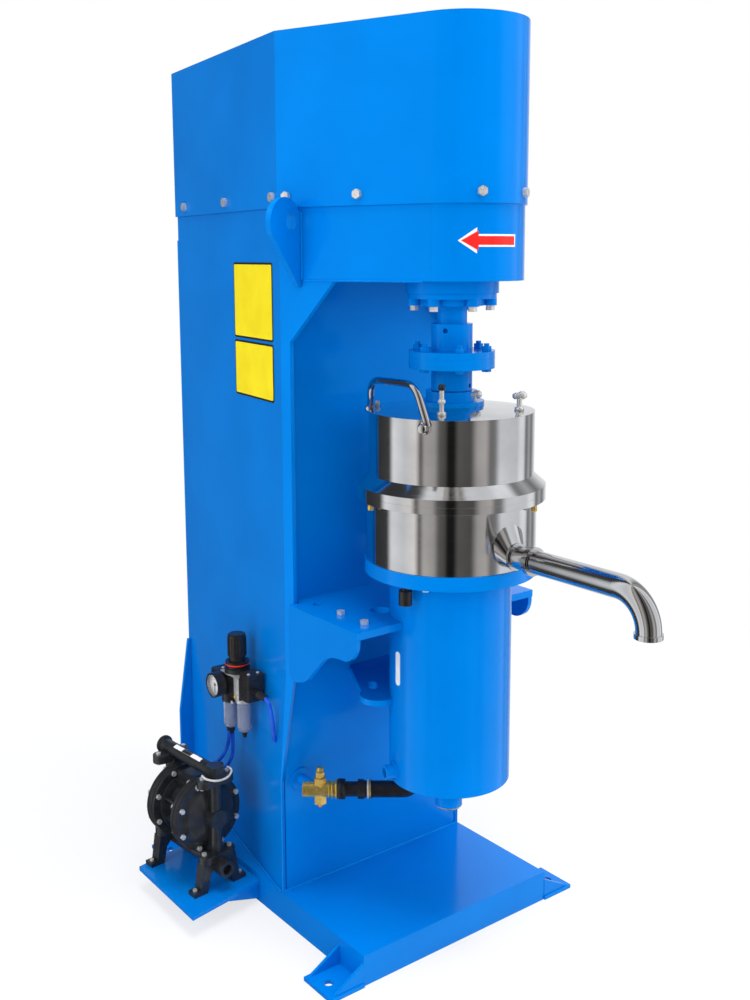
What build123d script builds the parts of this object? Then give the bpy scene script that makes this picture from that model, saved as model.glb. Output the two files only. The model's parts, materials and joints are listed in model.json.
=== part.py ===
"""Vertical sand mill on a floor-standing column, with its feed pump and air set.

Millimetres. The origin is the centre of the floor bolt pattern, +X to the right,
+Y to the rear, +Z up. The spindle stands in front of it, on the line x = 0,
y = mill_y. A run is a distance behind the spindle axis.
"""

import os
from math import asin, atan2, cos, hypot, pi, radians, sin, sqrt

from build123d import *

os.makedirs("parts", exist_ok=True)

# Clearances
body_gap = 0.3
run_fit = 0.05
hole_gap = 0.5

# Floor fixing
foot_spacing_x = 580.0
foot_spacing_y = 620.0
foot_hole_d = 18.0
foot_plate_t = 8.0
foot_plate_w = 88.0
foot_reach = 26.0
foot_gusset_t = 6.0
foot_gusset_h = 38.0

# Spindle axis
mill_y = -315.0

# Base
base_w = 477.0
base_front = 35.0
base_rear = 806.0
base_h = 62.0
base_plate_t = 8.0

# Column and drive head in plan
corner_half_w = 221.0
corner_run = 240.0
back_half_w = 133.5
back_run = 799.0
side_t = 8.0
flange_len = 20.0
nose_r = 114.0
nose_run = -24.0

# Column and drive head in height
arm_floor_z = 1300.0
head_h = 133.0
head_top_z = arm_floor_z + head_h
brace_drop = 117.0
brace_foot_z = arm_floor_z - brace_drop
brace_run = 125.0
flare_top_z = 516.0
flare_z = 300.0
flare_half_w = 238.0
flare_flange_len = 3.0
front_plate_t = 8.0
floor_plate_t = 12.0
deck_plate_t = 10.0
rear_panel_t = 5.0
rear_panel_bottom_z = 130.0
rear_panel_top_z = arm_floor_z + 80
rib_t = 8.0
rib_reach = 32.0
rib_top_z = 430.0
rib_shoulder_z = 255.0

# Belt cover
cover_h = 317.0
cover_top_z = head_top_z + cover_h
cover_t = 3.0
cover_proud = 4.0
lip_h = 40.0
lip_t = 4.0
cover_bolt_up = 20.0
cover_head_r = 9.0
cover_head_h = 8.0

# Spindle and its bearings
spindle_r = 28.0
spindle_stand = 159.0
spindle_top_z = head_top_z + spindle_stand
bearing_r = 55.0
bearing_w = 28.0
bearing_low_z = arm_floor_z - 16
bearing_high_z = head_top_z + 3
housing_flange_r = 86.0
housing_flange_t = 23.0
housing_r = 66.0
housing_top_z = head_top_z + 37
cap_r = 82.0
cap_t = 23.0
cap_waist_r = 60.0
cap_bolt_pcd = 140.0
cap_bolt_n = 6
cap_bolt_r = 8.5
cap_bolt_h = 9.0
collar_r = 33.0
collar_t = 8.0

# Flanged coupling
coupling_r = 80.0
coupling_drop = 141.0
coupling_seam_z = arm_floor_z - coupling_drop
coupling_upper_t = 12.6
coupling_lower_t = 19.6
hub_r = 38.3
upper_hub_h = 62.0
lower_hub_h = 61.0
upper_hub_top_z = coupling_seam_z + upper_hub_h
lower_hub_bottom_z = coupling_seam_z - lower_hub_h
coupling_bolt_pcd = 134.0
coupling_bolt_n = 6
coupling_bolt_r = 5.0
coupling_nut_r = 9.2
coupling_nut_h = 9.0
set_screw_r = 4.5
shaft_joint_z = coupling_seam_z

# Mill shaft and its discs
mill_shaft_r = 20.0
mill_shaft_bottom_z = 392.0
disc_r = 76.0
disc_t = 8.0
disc_n = 6
disc_pitch = 52.0
disc_bottom_z = 420.0
disc_hole_r = 11.0
disc_hole_pcd = 106.0
disc_hole_n = 6
sleeve_r = 27.0

# Vessel
jacket_r = 117.5
jacket_wall = 4.0
jacket_bottom_z = 343.5
barrel_r = 98.0
barrel_wall = 6.0
barrel_floor_z = 362.0
vessel_end_t = 10.0
flange_r = 163.6
flange_bottom_z = 755.0
flange_top_z = 781.3
drum_r = 160.8
drum_wall = 3.0
drum_floor_t = 6.0
ring_r = 177.2
ring_bottom_z = 897.4
ring_seam_z = 910.2
ring_top_z = 923.7
cone_top_z = 943.4
hood_r = 155.0
hood_rim_z = 1060.5
hood_crown = 9.0
hood_wall = 3.0
screen_r = 118.0
screen_wall = 2.0
screen_h = 210.0
neck_r = 48.0
neck_foot_r = 62.0
neck_foot_t = 9.0
neck_top_z = 1097.0
ring_screw_r = 6.0
ring_screw_h = 11.0
flange_bolt_r = 6.5
flange_bolt_h = 8.0
drain_r = 25.0
drain_h = 22.0
port_z = 368.0
port_r = 14.0
port_bore_r = 9.5

# Outlet, distances forward of the spindle axis
outlet_z = 814.0
pipe_r = 21.2
pipe_wall = 2.0
outlet_boss_end = 176.0
boss_half_w = 42.0
boss_half_h = 52.0
boss_rise = 29.0
outlet_joint = 218.0
outlet_weld = 412.0
outlet_bend_r = 63.0
outlet_lip_h = 8.0
ferrule_r = 26.0
ferrule_t = 5.0

# Shelf that carries the vessel
shelf_top_z = 670.5
shelf_t = 14.0
shelf_half_w = 224.0
shelf_front = 0.0
shelf_side_t = 10.0
shelf_bolt_r = 8.5
shelf_bolt_h = 7.0
low_bracket_z = 495.0
low_bracket_t = 12.0

# Motor in the column
motor_run = 500.0
motor_r = 116.0
motor_len = 380.0
motor_top_z = arm_floor_z - 60
motor_bottom_z = motor_top_z - motor_len
motor_flange_r = 140.0
motor_flange_t = 14.0
motor_plate_t = 14.0
motor_shaft_r = 19.0
motor_fin_n = 20
motor_fin_h = 10.0
motor_fin_t = 5.0

# Belt drive
drive_z = head_top_z + 87
spindle_pulley_r = 100.0
motor_pulley_r = 75.0
groove_n = 3
groove_pitch = 22.0
groove_depth = 11.0
groove_mouth = 15.0
groove_foot = 9.5
belt_h = 9.0
belt_w = 9.0

# Cooling line, from a boss on the column front to a boss on the jacket
cock_x = -183.0
cock_run = 180.0
line_z = 292.0
cock_r = 15.0
hose_r = 16.5
line_boss_x = -190.0
line_boss_r = 11.0
line_flange_r = 24.0
line_flange_t = 5.0

# Air set on the column side
air_x = -corner_half_w - 13
air_run = 410.0
air_z = 458.0
air_block_w = 44.0
air_block_len = 84.0
air_block_h = 48.0
port_block_len = 36.0
bowl_r = 15.0
bowl_wall = 2.0
bowl_h = 66.0
rear_bowl_drop = 14.0
bowl_spacing = 56.0
knob_r = 20.0
knob_h = 46.0
bonnet_r = 27.0
bonnet_h = 34.0
gauge_r = 26.0
gauge_len = 28.0

# Feed pump and its platform
platform_z = 50.0
platform_t = 9.0
platform_w = 173.5
platform_left = -base_w / 2 - platform_w
platform_run = 291.0
platform_len = 244.0
platform_skew = 11.0
pump_out = 87.5
pump_x = -base_w / 2 - pump_out
pump_run = 444.0
pump_turn = 5.0
pump_axis_h = 150.0
pump_disc_r = 78.0
pump_disc_y = 49.0
pump_flange_t = 8.0
pump_drum_r = 44.0
block_half_x = 21.0
block_half_y = 34.0
pump_boss_r = 20.0
pump_riser_r = 12.0
pump_riser_y = 82.0
manifold_r = 14.0
manifold_gap = 8.0
manifold_top_h = pump_axis_h + pump_disc_r + manifold_gap + manifold_r
manifold_low_h = pump_axis_h - pump_disc_r - manifold_gap - manifold_r
inlet_r = 17.0
inlet_y = 120.0
outlet_flare_r = 19.0
port_thread_r = 10.5
port_thread_len = 15.0
port_passage_r = 8.0
pad_len = 84.0
pad_w = 34.0
pad_t = 8.0
pad_bolt_x = 31.0
outlet_flare_y = pump_riser_y + pad_w / 2 + 9
pump_pad_h = 9.0
pump_foot_x = 64.0
pump_bolt_n = 8
pump_bolt_pcd = 144.0
pump_rod_r = 7.0


def yy(run):
    """Row y of a run."""
    return mill_y + run


def unit(a, b):
    """Unit vector from a to b."""
    length = hypot(b[0] - a[0], b[1] - a[1])
    return ((b[0] - a[0]) / length, (b[1] - a[1]) / length)


def meet(p, u, q, v):
    """Where the line through p along u meets the line through q along v."""
    cross = u[0] * v[1] - u[1] * v[0]
    t = ((q[0] - p[0]) * v[1] - (q[1] - p[1]) * v[0]) / cross
    return (p[0] + t * u[0], p[1] + t * u[1])


def flip(point):
    """The same point on the other side of the machine."""
    return (-point[0], point[1])


back_point = (-back_half_w, yy(back_run))
corner_point = (-corner_half_w, yy(corner_run))
nose_centre = (0.0, yy(nose_run))
rear_dir = unit(corner_point, back_point)
nose_span = hypot(corner_point[0], corner_point[1] - nose_centre[1])
nose_angle = (
    atan2(corner_point[1] - nose_centre[1], corner_point[0])
    + pi / 2
    - asin(nose_r / nose_span)
)
nose_normal = (cos(nose_angle), sin(nose_angle))
arm_dir = (-nose_normal[1], nose_normal[0])


def outline(inset, back_inset=0.0):
    """Left half of the head's plan, moved in by inset.

    Returns its back point, its corner and the point where the nose begins.
    """
    rear_in = (back_point[0] + inset * rear_dir[1], back_point[1] - inset * rear_dir[0])
    arm_in = (
        corner_point[0] - inset * nose_normal[0],
        corner_point[1] - inset * nose_normal[1],
    )
    corner = meet(rear_in, rear_dir, arm_in, arm_dir)
    back = meet(rear_in, rear_dir, (0.0, back_point[1] - back_inset), (1.0, 0.0))
    radius = nose_r - inset
    start = (nose_centre[0] + radius * nose_normal[0], nose_centre[1] + radius * nose_normal[1])
    return back, corner, start


def head_face(inset, back_inset, mode=Mode.ADD):
    """Plan of the head, moved in by inset, for the open sketch."""
    back, corner, start = outline(inset, back_inset)
    tip = (0.0, nose_centre[1] - nose_r + inset)
    with BuildLine() as edge:
        Polyline(flip(back), back, corner, start)
        ThreePointArc(start, tip, flip(start))
        Polyline(flip(start), flip(corner), flip(back))
    make_face(edge.edges(), mode=mode)


def rear_inner_x(run):
    """Half width between the side plates' inner faces at a run."""
    back, corner = outline(side_t)[:2]
    share = (yy(run) - corner[1]) / (back[1] - corner[1])
    return -(corner[0] + share * (back[0] - corner[0]))


def at(z):
    """Level plane at height z, centred on the spindle."""
    return Plane(origin=(0, mill_y, z))


def round_prism(r, h, plane, mode=Mode.ADD):
    """Round prism of radius r and height h on a plane, in the open part."""
    with BuildSketch(plane) as face:
        Circle(r)
    extrude(face.sketch, amount=h, mode=mode)


def hex_prism(r, h, plane):
    """Hexagonal prism of corner radius r and height h, in the open part."""
    with BuildSketch(plane) as face:
        RegularPolygon(radius=r, side_count=6)
    extrude(face.sketch, amount=h)


def ring_prism(r_out, r_in, h, plane):
    """Ring of height h on a plane, in the open part."""
    with BuildSketch(plane) as face:
        Circle(r_out)
        Circle(r_in, mode=Mode.SUBTRACT)
    extrude(face.sketch, amount=h)


def turned(points, axis_plane):
    """Solid turned from (radius, height) points about a plane's local Y axis."""
    with BuildSketch(axis_plane) as face:
        with BuildLine():
            Polyline(*points, close=True)
        make_face()
    revolve(face.sketch, axis=Axis(axis_plane.origin, axis_plane.y_dir))


spindle_profile = Plane(origin=(0, mill_y, 0), x_dir=(1, 0, 0), z_dir=(0, -1, 0))


def write(part, label):
    """Label a finished piece and write its file."""
    part.label = label
    export_step(part, "parts/" + label + ".step")


# Base: a box open underneath, with drilled feet, their gussets and the column's rear ribs
foot_x = foot_spacing_x / 2
foot_y = foot_spacing_y / 2
base_len = base_front + base_rear
base_mid = Plane(origin=(0, yy((base_rear - base_front) / 2), 0))
foot_len = foot_x + foot_reach - base_w / 2
with BuildPart() as base_frame:
    with BuildSketch(base_mid):
        Rectangle(base_w, base_len)
    extrude(amount=base_h)
    with BuildSketch(base_mid):
        Rectangle(base_w - 2 * base_plate_t, base_len - 2 * base_plate_t)
    extrude(amount=base_h - base_plate_t, mode=Mode.SUBTRACT)
    for sx in (-1, 1):
        for sy in (-1, 1):
            with BuildSketch(Plane(origin=(sx * (base_w + foot_len) / 2, sy * foot_y, 0))):
                Rectangle(foot_len, foot_plate_w)
            extrude(amount=foot_plate_t)
            foot_centre = Plane(origin=(sx * foot_x, sy * foot_y, 0))
            round_prism(foot_hole_d / 2, foot_plate_t, foot_centre, Mode.SUBTRACT)
            for side in (-1, 1):
                gusset_y = sy * foot_y + side * (foot_plate_w / 2 - foot_gusset_t)
                gusset_plane = Plane(
                    origin=(sx * base_w / 2, gusset_y, foot_plate_t),
                    x_dir=(sx, 0, 0),
                    z_dir=(0, -sx, 0),
                )
                with BuildSketch(gusset_plane):
                    with BuildLine():
                        Polyline((0, 0), (foot_len - 8, 0), (0, foot_gusset_h), close=True)
                    make_face()
                extrude(amount=foot_gusset_t / 2, both=True)
    for hand in (1, -1):
        rib_plane = Plane(origin=(0, yy(back_run), 0), x_dir=(-hand, 0, 0), z_dir=(0, hand, 0))
        rib_foot = back_half_w + 2
        with BuildSketch(rib_plane):
            with BuildLine():
                Polyline(
                    (rib_foot, base_h - 1),
                    (rib_foot + rib_reach, base_h - 1),
                    (rib_foot + rib_reach, rib_shoulder_z),
                    (rib_foot + 6, rib_top_z),
                    (rib_foot, rib_top_z),
                    close=True,
                )
            make_face()
        extrude(amount=-hand * rib_t)
write(base_frame.part, "base_frame")

# Column side plates: one folded plate each side, from the back to the nose.
# The lower part of the fold flares out to the base's width.
side_front = yy(nose_run - nose_r)
side_view = [
    (yy(back_run + 5), flare_top_z),
    (yy(back_run + 5), head_top_z),
    (side_front, head_top_z),
    (side_front, arm_floor_z),
    (yy(brace_run), arm_floor_z),
    (yy(corner_run - flange_len), brace_foot_z),
    (yy(corner_run - flange_len), flare_top_z),
]


def fold_section(half_w, tip_len):
    """Cross-section of a folded side plate with the corner at half_w."""
    corner = (-half_w, yy(corner_run))
    rear = unit(corner, back_point)
    tip = (corner[0] + tip_len * arm_dir[0], corner[1] + tip_len * arm_dir[1])
    back_in = (back_point[0] + side_t * rear[1], back_point[1] - side_t * rear[0])
    tip_in = (tip[0] - side_t * nose_normal[0], tip[1] - side_t * nose_normal[1])
    corner_in = meet(back_in, rear, tip_in, arm_dir)
    return [back_point, corner, tip, tip_in, corner_in, back_in]


side_out = outline(0.0)
side_in = outline(side_t)
fold_high = fold_section(corner_half_w, flange_len)
fold_low = fold_section(flare_half_w, flare_flange_len)
with BuildPart() as side_plate_left:
    with BuildSketch(Plane.XY.offset(flare_top_z)):
        with BuildLine():
            Polyline(
                back_point, side_out[1], side_out[2], side_in[2], side_in[1], fold_high[5], close=True
            )
        make_face()
    extrude(amount=head_top_z - flare_top_z)
    with BuildSketch(Plane.YZ.offset(-corner_half_w - 5)):
        with BuildLine():
            Polyline(*side_view, close=True)
        make_face()
    extrude(amount=2 * corner_half_w + 10, mode=Mode.INTERSECT)
    with BuildSketch(Plane.XY.offset(flare_top_z)):
        with BuildLine():
            Polyline(*fold_high, close=True)
        make_face()
    with BuildSketch(Plane.XY.offset(flare_z)):
        with BuildLine():
            Polyline(*fold_low, close=True)
        make_face()
    loft(ruled=True)
    with BuildSketch(Plane.XY.offset(base_h)):
        with BuildLine():
            Polyline(*fold_low, close=True)
        make_face()
    extrude(amount=flare_z - base_h)
write(side_plate_left.part, "side_plate_left")

with BuildPart() as side_plate_right:
    mirror(side_plate_left.part, about=Plane.YZ)
write(side_plate_right.part, "side_plate_right")

# Drive head: rolled nose, floor with the housing's seat, belt deck and the lip inside the cover
nose_out = side_out[2]
nose_in = side_in[2]
deck_z = head_top_z - deck_plate_t
floor_back = back_run - corner_run - 40
lip_proud = cover_proud - cover_t - body_gap
with BuildPart() as drive_head:
    with BuildSketch(Plane.XY.offset(arm_floor_z)):
        with BuildLine():
            ThreePointArc(nose_out, (0.0, nose_centre[1] - nose_r), flip(nose_out))
            Line(flip(nose_out), flip(nose_in))
            ThreePointArc(flip(nose_in), (0.0, nose_centre[1] - nose_r + side_t), nose_in)
            Line(nose_in, nose_out)
        make_face()
    extrude(amount=head_top_z - arm_floor_z)
    with BuildSketch(Plane.XY.offset(arm_floor_z)):
        head_face(side_t, floor_back)
    extrude(amount=floor_plate_t)
    with BuildSketch(Plane.XY.offset(deck_z)):
        head_face(side_t, body_gap)
    extrude(amount=deck_plate_t)
    with BuildSketch(Plane.XY.offset(head_top_z)):
        head_face(-lip_proud, -lip_proud)
        head_face(side_t + lip_t, side_t + lip_t, Mode.SUBTRACT)
    extrude(amount=lip_t)
    with BuildSketch(Plane.XY.offset(head_top_z)):
        head_face(-lip_proud, -lip_proud)
        head_face(lip_t - lip_proud, lip_t - lip_proud, Mode.SUBTRACT)
    extrude(amount=lip_h)
    round_prism(housing_r + hole_gap, floor_plate_t, at(arm_floor_z), Mode.SUBTRACT)
    round_prism(housing_r + hole_gap, deck_plate_t, at(deck_z), Mode.SUBTRACT)
    with BuildSketch(Plane(origin=(0, yy(motor_run), deck_z))):
        SlotCenterToCenter(60, 2 * motor_shaft_r + 40, rotation=90)
    extrude(amount=deck_plate_t, mode=Mode.SUBTRACT)
write(drive_head.part, "drive_head")

line_angle = radians(-37.8)
line_dir = (cos(line_angle), sin(line_angle))


def line_plane(t):
    """Plane across the feed line at a distance t past the valve's centre."""
    return Plane(
        origin=(cock_x + t * line_dir[0], yy(cock_run + t * line_dir[1]), line_z),
        x_dir=(0, 0, 1),
        z_dir=(line_dir[0], line_dir[1], 0),
    )


# Column front plate, wider where the side plates flare, with the boss behind the feed valve
front_half = rear_inner_x(corner_run + front_plate_t) - body_gap
front_low_half = front_half + flare_half_w - corner_half_w - 1
with BuildPart() as front_plate:
    with BuildSketch(Plane(origin=(0, yy(corner_run), 0), x_dir=(1, 0, 0), z_dir=(0, -1, 0))):
        with BuildLine():
            Polyline(
                (-front_low_half, base_h),
                (front_low_half, base_h),
                (front_low_half, flare_z),
                (front_half, flare_top_z),
                (front_half, arm_floor_z),
                (-front_half, arm_floor_z),
                (-front_half, flare_top_z),
                (-front_low_half, flare_z),
                close=True,
            )
        make_face()
    extrude(amount=-front_plate_t)
    boss_plane = Plane(
        origin=(line_boss_x, yy(corner_run), line_z + 2), x_dir=(1, 0, 0), z_dir=(0, -1, 0)
    )
    round_prism(line_flange_r, line_flange_t, boss_plane)
    round_prism(line_boss_r, corner_run - cock_run, boss_plane)
    round_prism(cock_r + body_gap, 200, line_plane(-100), Mode.SUBTRACT)
    with BuildSketch(Plane(origin=(line_boss_x, yy(cock_run - 27), line_z - 40))):
        Rectangle(60, 60)
    extrude(amount=80, mode=Mode.SUBTRACT)
write(front_plate.part, "front_plate")

# Belt cover: a folded and rolled sheet with a flat top
cover_bottom_z = head_top_z + body_gap
with BuildPart() as belt_cover:
    with BuildSketch(Plane.XY.offset(cover_bottom_z)):
        head_face(-cover_proud, -cover_proud)
    extrude(amount=cover_top_z - cover_bottom_z)
    with BuildSketch(Plane.XY.offset(cover_bottom_z)):
        head_face(cover_t - cover_proud, cover_t - cover_proud)
    extrude(amount=cover_top_z - cover_t - cover_bottom_z, mode=Mode.SUBTRACT)
write(belt_cover.part, "belt_cover")

# Rear access panel
with BuildPart() as rear_panel:
    with BuildSketch(Plane(origin=(0, yy(back_run), 0), x_dir=(-1, 0, 0), z_dir=(0, 1, 0))):
        with Locations((0, (rear_panel_bottom_z + rear_panel_top_z) / 2)):
            Rectangle(2 * back_half_w, rear_panel_top_z - rear_panel_bottom_z)
    extrude(amount=rear_panel_t)
write(rear_panel.part, "rear_panel")

# Hexagon screws of the cover's skirt, as a point and the way out of it, and of the rear panel
cover_back, cover_corner, cover_start = outline(-cover_proud, -cover_proud)
screw_sites = []
for along in (0.12, 0.55, 0.97):
    x = cover_back[0] + along * (cover_corner[0] - cover_back[0])
    y = cover_back[1] + along * (cover_corner[1] - cover_back[1])
    screw_sites.append((x, y, -rear_dir[1], rear_dir[0]))
for along in (0.07, 0.55):
    x = cover_corner[0] + along * (cover_start[0] - cover_corner[0])
    y = cover_corner[1] + along * (cover_start[1] - cover_corner[1])
    screw_sites.append((x, y, nose_normal[0], nose_normal[1]))
nose_screw = radians(245)
skirt_r = nose_r + cover_proud
screw_sites.append(
    (skirt_r * cos(nose_screw), nose_centre[1] + skirt_r * sin(nose_screw),
     cos(nose_screw), sin(nose_screw))
)
with BuildPart() as cover_screws:
    for hand in (1, -1):
        for x, y, out_x, out_y in screw_sites:
            hex_prism(
                cover_head_r,
                cover_head_h,
                Plane(
                    origin=(hand * x, y, cover_bottom_z + cover_bolt_up),
                    x_dir=(0, 0, 1),
                    z_dir=(hand * out_x, out_y, 0),
                ),
            )
    for sx in (-1, 1):
        for share in (0.03, 0.35, 0.65, 0.97):
            z = rear_panel_bottom_z + share * (rear_panel_top_z - rear_panel_bottom_z)
            hex_prism(
                cover_head_r,
                cover_head_h,
                Plane(
                    origin=(sx * (back_half_w - 14), yy(back_run) + rear_panel_t, z),
                    x_dir=(1, 0, 0),
                    z_dir=(0, 1, 0),
                ),
            )
write(cover_screws.part, "cover_screws")

# Lifting lugs, flat plates welded to the arm's sides
lug_len = 150.0
lug_r = 27.0
lug_hole_r = 16.0
lug_t = 12.0
lug_run = 198.0
lug_hole_z = 1404.0
with BuildPart() as lifting_lugs:
    for hand in (1, -1):
        share = (yy(lug_run) - corner_point[1]) / arm_dir[1]
        root = (corner_point[0] + share * arm_dir[0], yy(lug_run))
        lug_plane = Plane(
            origin=(hand * root[0], root[1], lug_hole_z),
            x_dir=(hand * nose_normal[0], nose_normal[1], 0),
            z_dir=(-arm_dir[0], -hand * arm_dir[1], 0),
        )
        reach = body_gap
        with BuildSketch(lug_plane):
            with BuildLine():
                Polyline(
                    (reach, 12),
                    (reach, -lug_len + lug_r),
                    (reach + 7, -lug_len + lug_r),
                    (reach + lug_r + 34, -9),
                )
                ThreePointArc(
                    (reach + lug_r + 34, -9), (reach + lug_r + 18, lug_r - 3), (reach + 18, lug_r + 6)
                )
                Line((reach + 18, lug_r + 6), (reach, 12))
            make_face()
            with Locations((reach + 31, 3)):
                Circle(lug_hole_r, mode=Mode.SUBTRACT)
        extrude(amount=lug_t / 2, both=True)
write(lifting_lugs.part, "lifting_lugs")

# Shelf that carries the vessel, notched round the jacket, on two brackets with a wavy edge
shelf_back = corner_run - body_gap
shelf_under = shelf_top_z - shelf_t
shelf_neck = front_half - 12
shelf_step = corner_run - flange_len - body_gap
notch_r = jacket_r + body_gap
with BuildPart() as vessel_shelf:
    with BuildSketch(Plane.XY.offset(shelf_under)):
        with BuildLine():
            Polyline(
                (-shelf_half_w, yy(shelf_front)),
                (shelf_half_w, yy(shelf_front)),
                (shelf_half_w, yy(shelf_step)),
                (shelf_neck, yy(shelf_step)),
                (shelf_neck, yy(shelf_back)),
                (-shelf_neck, yy(shelf_back)),
                (-shelf_neck, yy(shelf_step)),
                (-shelf_half_w, yy(shelf_step)),
                close=True,
            )
        make_face()
        with Locations((0, mill_y)):
            Circle(notch_r, mode=Mode.SUBTRACT)
        with Locations((-103, yy(85)), (103, yy(85))):
            Circle(20, mode=Mode.SUBTRACT)
        with Locations((-176, yy(192)), (176, yy(192))):
            Circle(9, mode=Mode.SUBTRACT)
    extrude(amount=shelf_t)
    front_len = shelf_step - shelf_front - 2
    for side_x0 in (-shelf_half_w, shelf_half_w - shelf_side_t):
        gusset_plane = Plane(
            origin=(side_x0, yy(shelf_step), shelf_under), x_dir=(0, -1, 0), z_dir=(1, 0, 0)
        )
        with BuildSketch(gusset_plane):
            with BuildLine():
                Line((0, -1), (0, 130))
                ThreePointArc((0, 130), (15, 137), (32, 134))
                ThreePointArc((32, 134), (54, 125), (70, 110))
                Line((70, 110), (98, 82))
                ThreePointArc((98, 82), (120, 63), (148, 52))
                ThreePointArc((148, 52), (164, 49.5), (180, 49))
                ThreePointArc((180, 49), (206, 36), (front_len, 6))
                Line((front_len, 6), (front_len, -1))
                Line((front_len, -1), (0, -1))
            make_face()
        extrude(amount=shelf_side_t)
write(vessel_shelf.part, "vessel_shelf")

# Lower steady between the column and the jacket: an arched plate with two slots
with BuildPart() as lower_bracket:
    with BuildSketch(Plane.XY.offset(low_bracket_z)):
        with BuildLine():
            Line((-64, yy(shelf_back)), (64, yy(shelf_back)))
            Line((64, yy(shelf_back)), (132, yy(110)))
            ThreePointArc((132, yy(110)), (150, yy(70)), (112, yy(40)))
            Line((112, yy(40)), (-112, yy(40)))
            ThreePointArc((-112, yy(40)), (-150, yy(70)), (-132, yy(110)))
            Line((-132, yy(110)), (-64, yy(shelf_back)))
        make_face()
        with Locations((0, mill_y)):
            Circle(notch_r, mode=Mode.SUBTRACT)
        for sx in (-1, 1):
            with Locations((sx * 96, yy(120))):
                SlotCenterToCenter(22, 18, rotation=sx * -60, mode=Mode.SUBTRACT)
    extrude(amount=low_bracket_t)
write(lower_bracket.part, "lower_bracket")

# Bearing housing: a cartridge that hangs through the arm floor
housing_bottom_z = arm_floor_z - housing_flange_t
bearing_seat = bearing_r + run_fit
with BuildPart() as bearing_housing:
    turned(
        [
            (bearing_r - 8, housing_bottom_z + 6),
            (bearing_r - 8, housing_bottom_z),
            (housing_flange_r, housing_bottom_z),
            (housing_flange_r, arm_floor_z),
            (housing_r, arm_floor_z),
            (housing_r, housing_top_z),
            (bearing_seat, housing_top_z),
            (bearing_seat, bearing_high_z),
            (bearing_r - 8, bearing_high_z),
            (bearing_r - 8, bearing_low_z + bearing_w),
            (bearing_seat, bearing_low_z + bearing_w),
            (bearing_seat, housing_bottom_z + 6),
        ],
        spindle_profile,
    )
write(bearing_housing.part, "bearing_housing")

with BuildPart() as spindle_bearings:
    for z in (bearing_low_z, bearing_high_z):
        ring_prism(bearing_r, spindle_r + run_fit, bearing_w, at(z))
write(spindle_bearings.part, "spindle_bearings")

# Bearing cap under the housing, relieved between its bolts
cap_bottom_z = housing_bottom_z - cap_t
with BuildPart() as bearing_cap:
    ring_prism(cap_r, spindle_r + 1, 10, at(cap_bottom_z + cap_t - 10))
    ring_prism(cap_waist_r, spindle_r + 1, cap_t - 10, at(cap_bottom_z))
    with BuildSketch(at(cap_bottom_z)):
        with PolarLocations(cap_bolt_pcd / 2, cap_bolt_n, start_angle=20):
            Circle(cap_r - cap_bolt_pcd / 2)
    extrude(amount=cap_t - 10)
write(bearing_cap.part, "bearing_cap")

# Spindle: the upper shaft, with the collar that covers the lower bearing
pulley_h = groove_n * groove_pitch
with BuildPart() as spindle_shaft:
    round_prism(spindle_r, spindle_top_z - shaft_joint_z, at(shaft_joint_z))
    round_prism(collar_r, collar_t, at(cap_bottom_z - body_gap - collar_t))
write(spindle_shaft.part, "spindle_shaft")

# Coupling halves
upper_bore = spindle_r + run_fit
with BuildPart() as upper_coupling:
    ring_prism(coupling_r, upper_bore, coupling_upper_t, at(coupling_seam_z))
    hub_z = coupling_seam_z + coupling_upper_t
    ring_prism(hub_r, upper_bore, upper_hub_top_z - hub_z, at(hub_z))
    with BuildSketch(at(coupling_seam_z)):
        with PolarLocations(coupling_bolt_pcd / 2, coupling_bolt_n):
            Circle(coupling_bolt_r + run_fit)
    extrude(amount=coupling_upper_t, mode=Mode.SUBTRACT)
    round_prism(
        set_screw_r,
        hub_r + 5,
        Plane(
            origin=(0, mill_y, upper_hub_top_z - 12),
            x_dir=(0, 0, 1),
            z_dir=(cos(radians(210)), sin(radians(210)), 0),
        ),
        Mode.SUBTRACT,
    )
write(upper_coupling.part, "upper_coupling")

lower_bore = mill_shaft_r + run_fit
with BuildPart() as lower_coupling:
    lower_flange_z = coupling_seam_z - coupling_lower_t
    ring_prism(coupling_r, lower_bore, coupling_lower_t, at(lower_flange_z))
    ring_prism(hub_r, lower_bore, lower_flange_z - lower_hub_bottom_z, at(lower_hub_bottom_z))
    with BuildSketch(at(lower_flange_z)):
        with PolarLocations(coupling_bolt_pcd / 2, coupling_bolt_n):
            Circle(coupling_bolt_r + run_fit)
    extrude(amount=coupling_lower_t, mode=Mode.SUBTRACT)
    for angle in (205, 290):
        round_prism(
            set_screw_r,
            hub_r + 5,
            Plane(
                origin=(0, mill_y, lower_hub_bottom_z + 9),
                x_dir=(0, 0, 1),
                z_dir=(cos(radians(angle)), sin(radians(angle)), 0),
            ),
            Mode.SUBTRACT,
        )
write(lower_coupling.part, "lower_coupling")

with BuildPart() as coupling_bolts:
    top_z = coupling_seam_z + coupling_upper_t
    for i in range(coupling_bolt_n):
        angle = radians(i * 360 / coupling_bolt_n)
        x = coupling_bolt_pcd / 2 * cos(angle)
        y = yy(coupling_bolt_pcd / 2 * sin(angle))
        shank = coupling_upper_t + coupling_lower_t
        round_prism(coupling_bolt_r, shank + 14, Plane(origin=(x, y, lower_flange_z)))
        hex_prism(coupling_nut_r, coupling_nut_h, Plane(origin=(x, y, top_z)))
        hex_prism(coupling_nut_r, 6, Plane(origin=(x, y, lower_flange_z - 6)))
write(coupling_bolts.part, "coupling_bolts")

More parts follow.
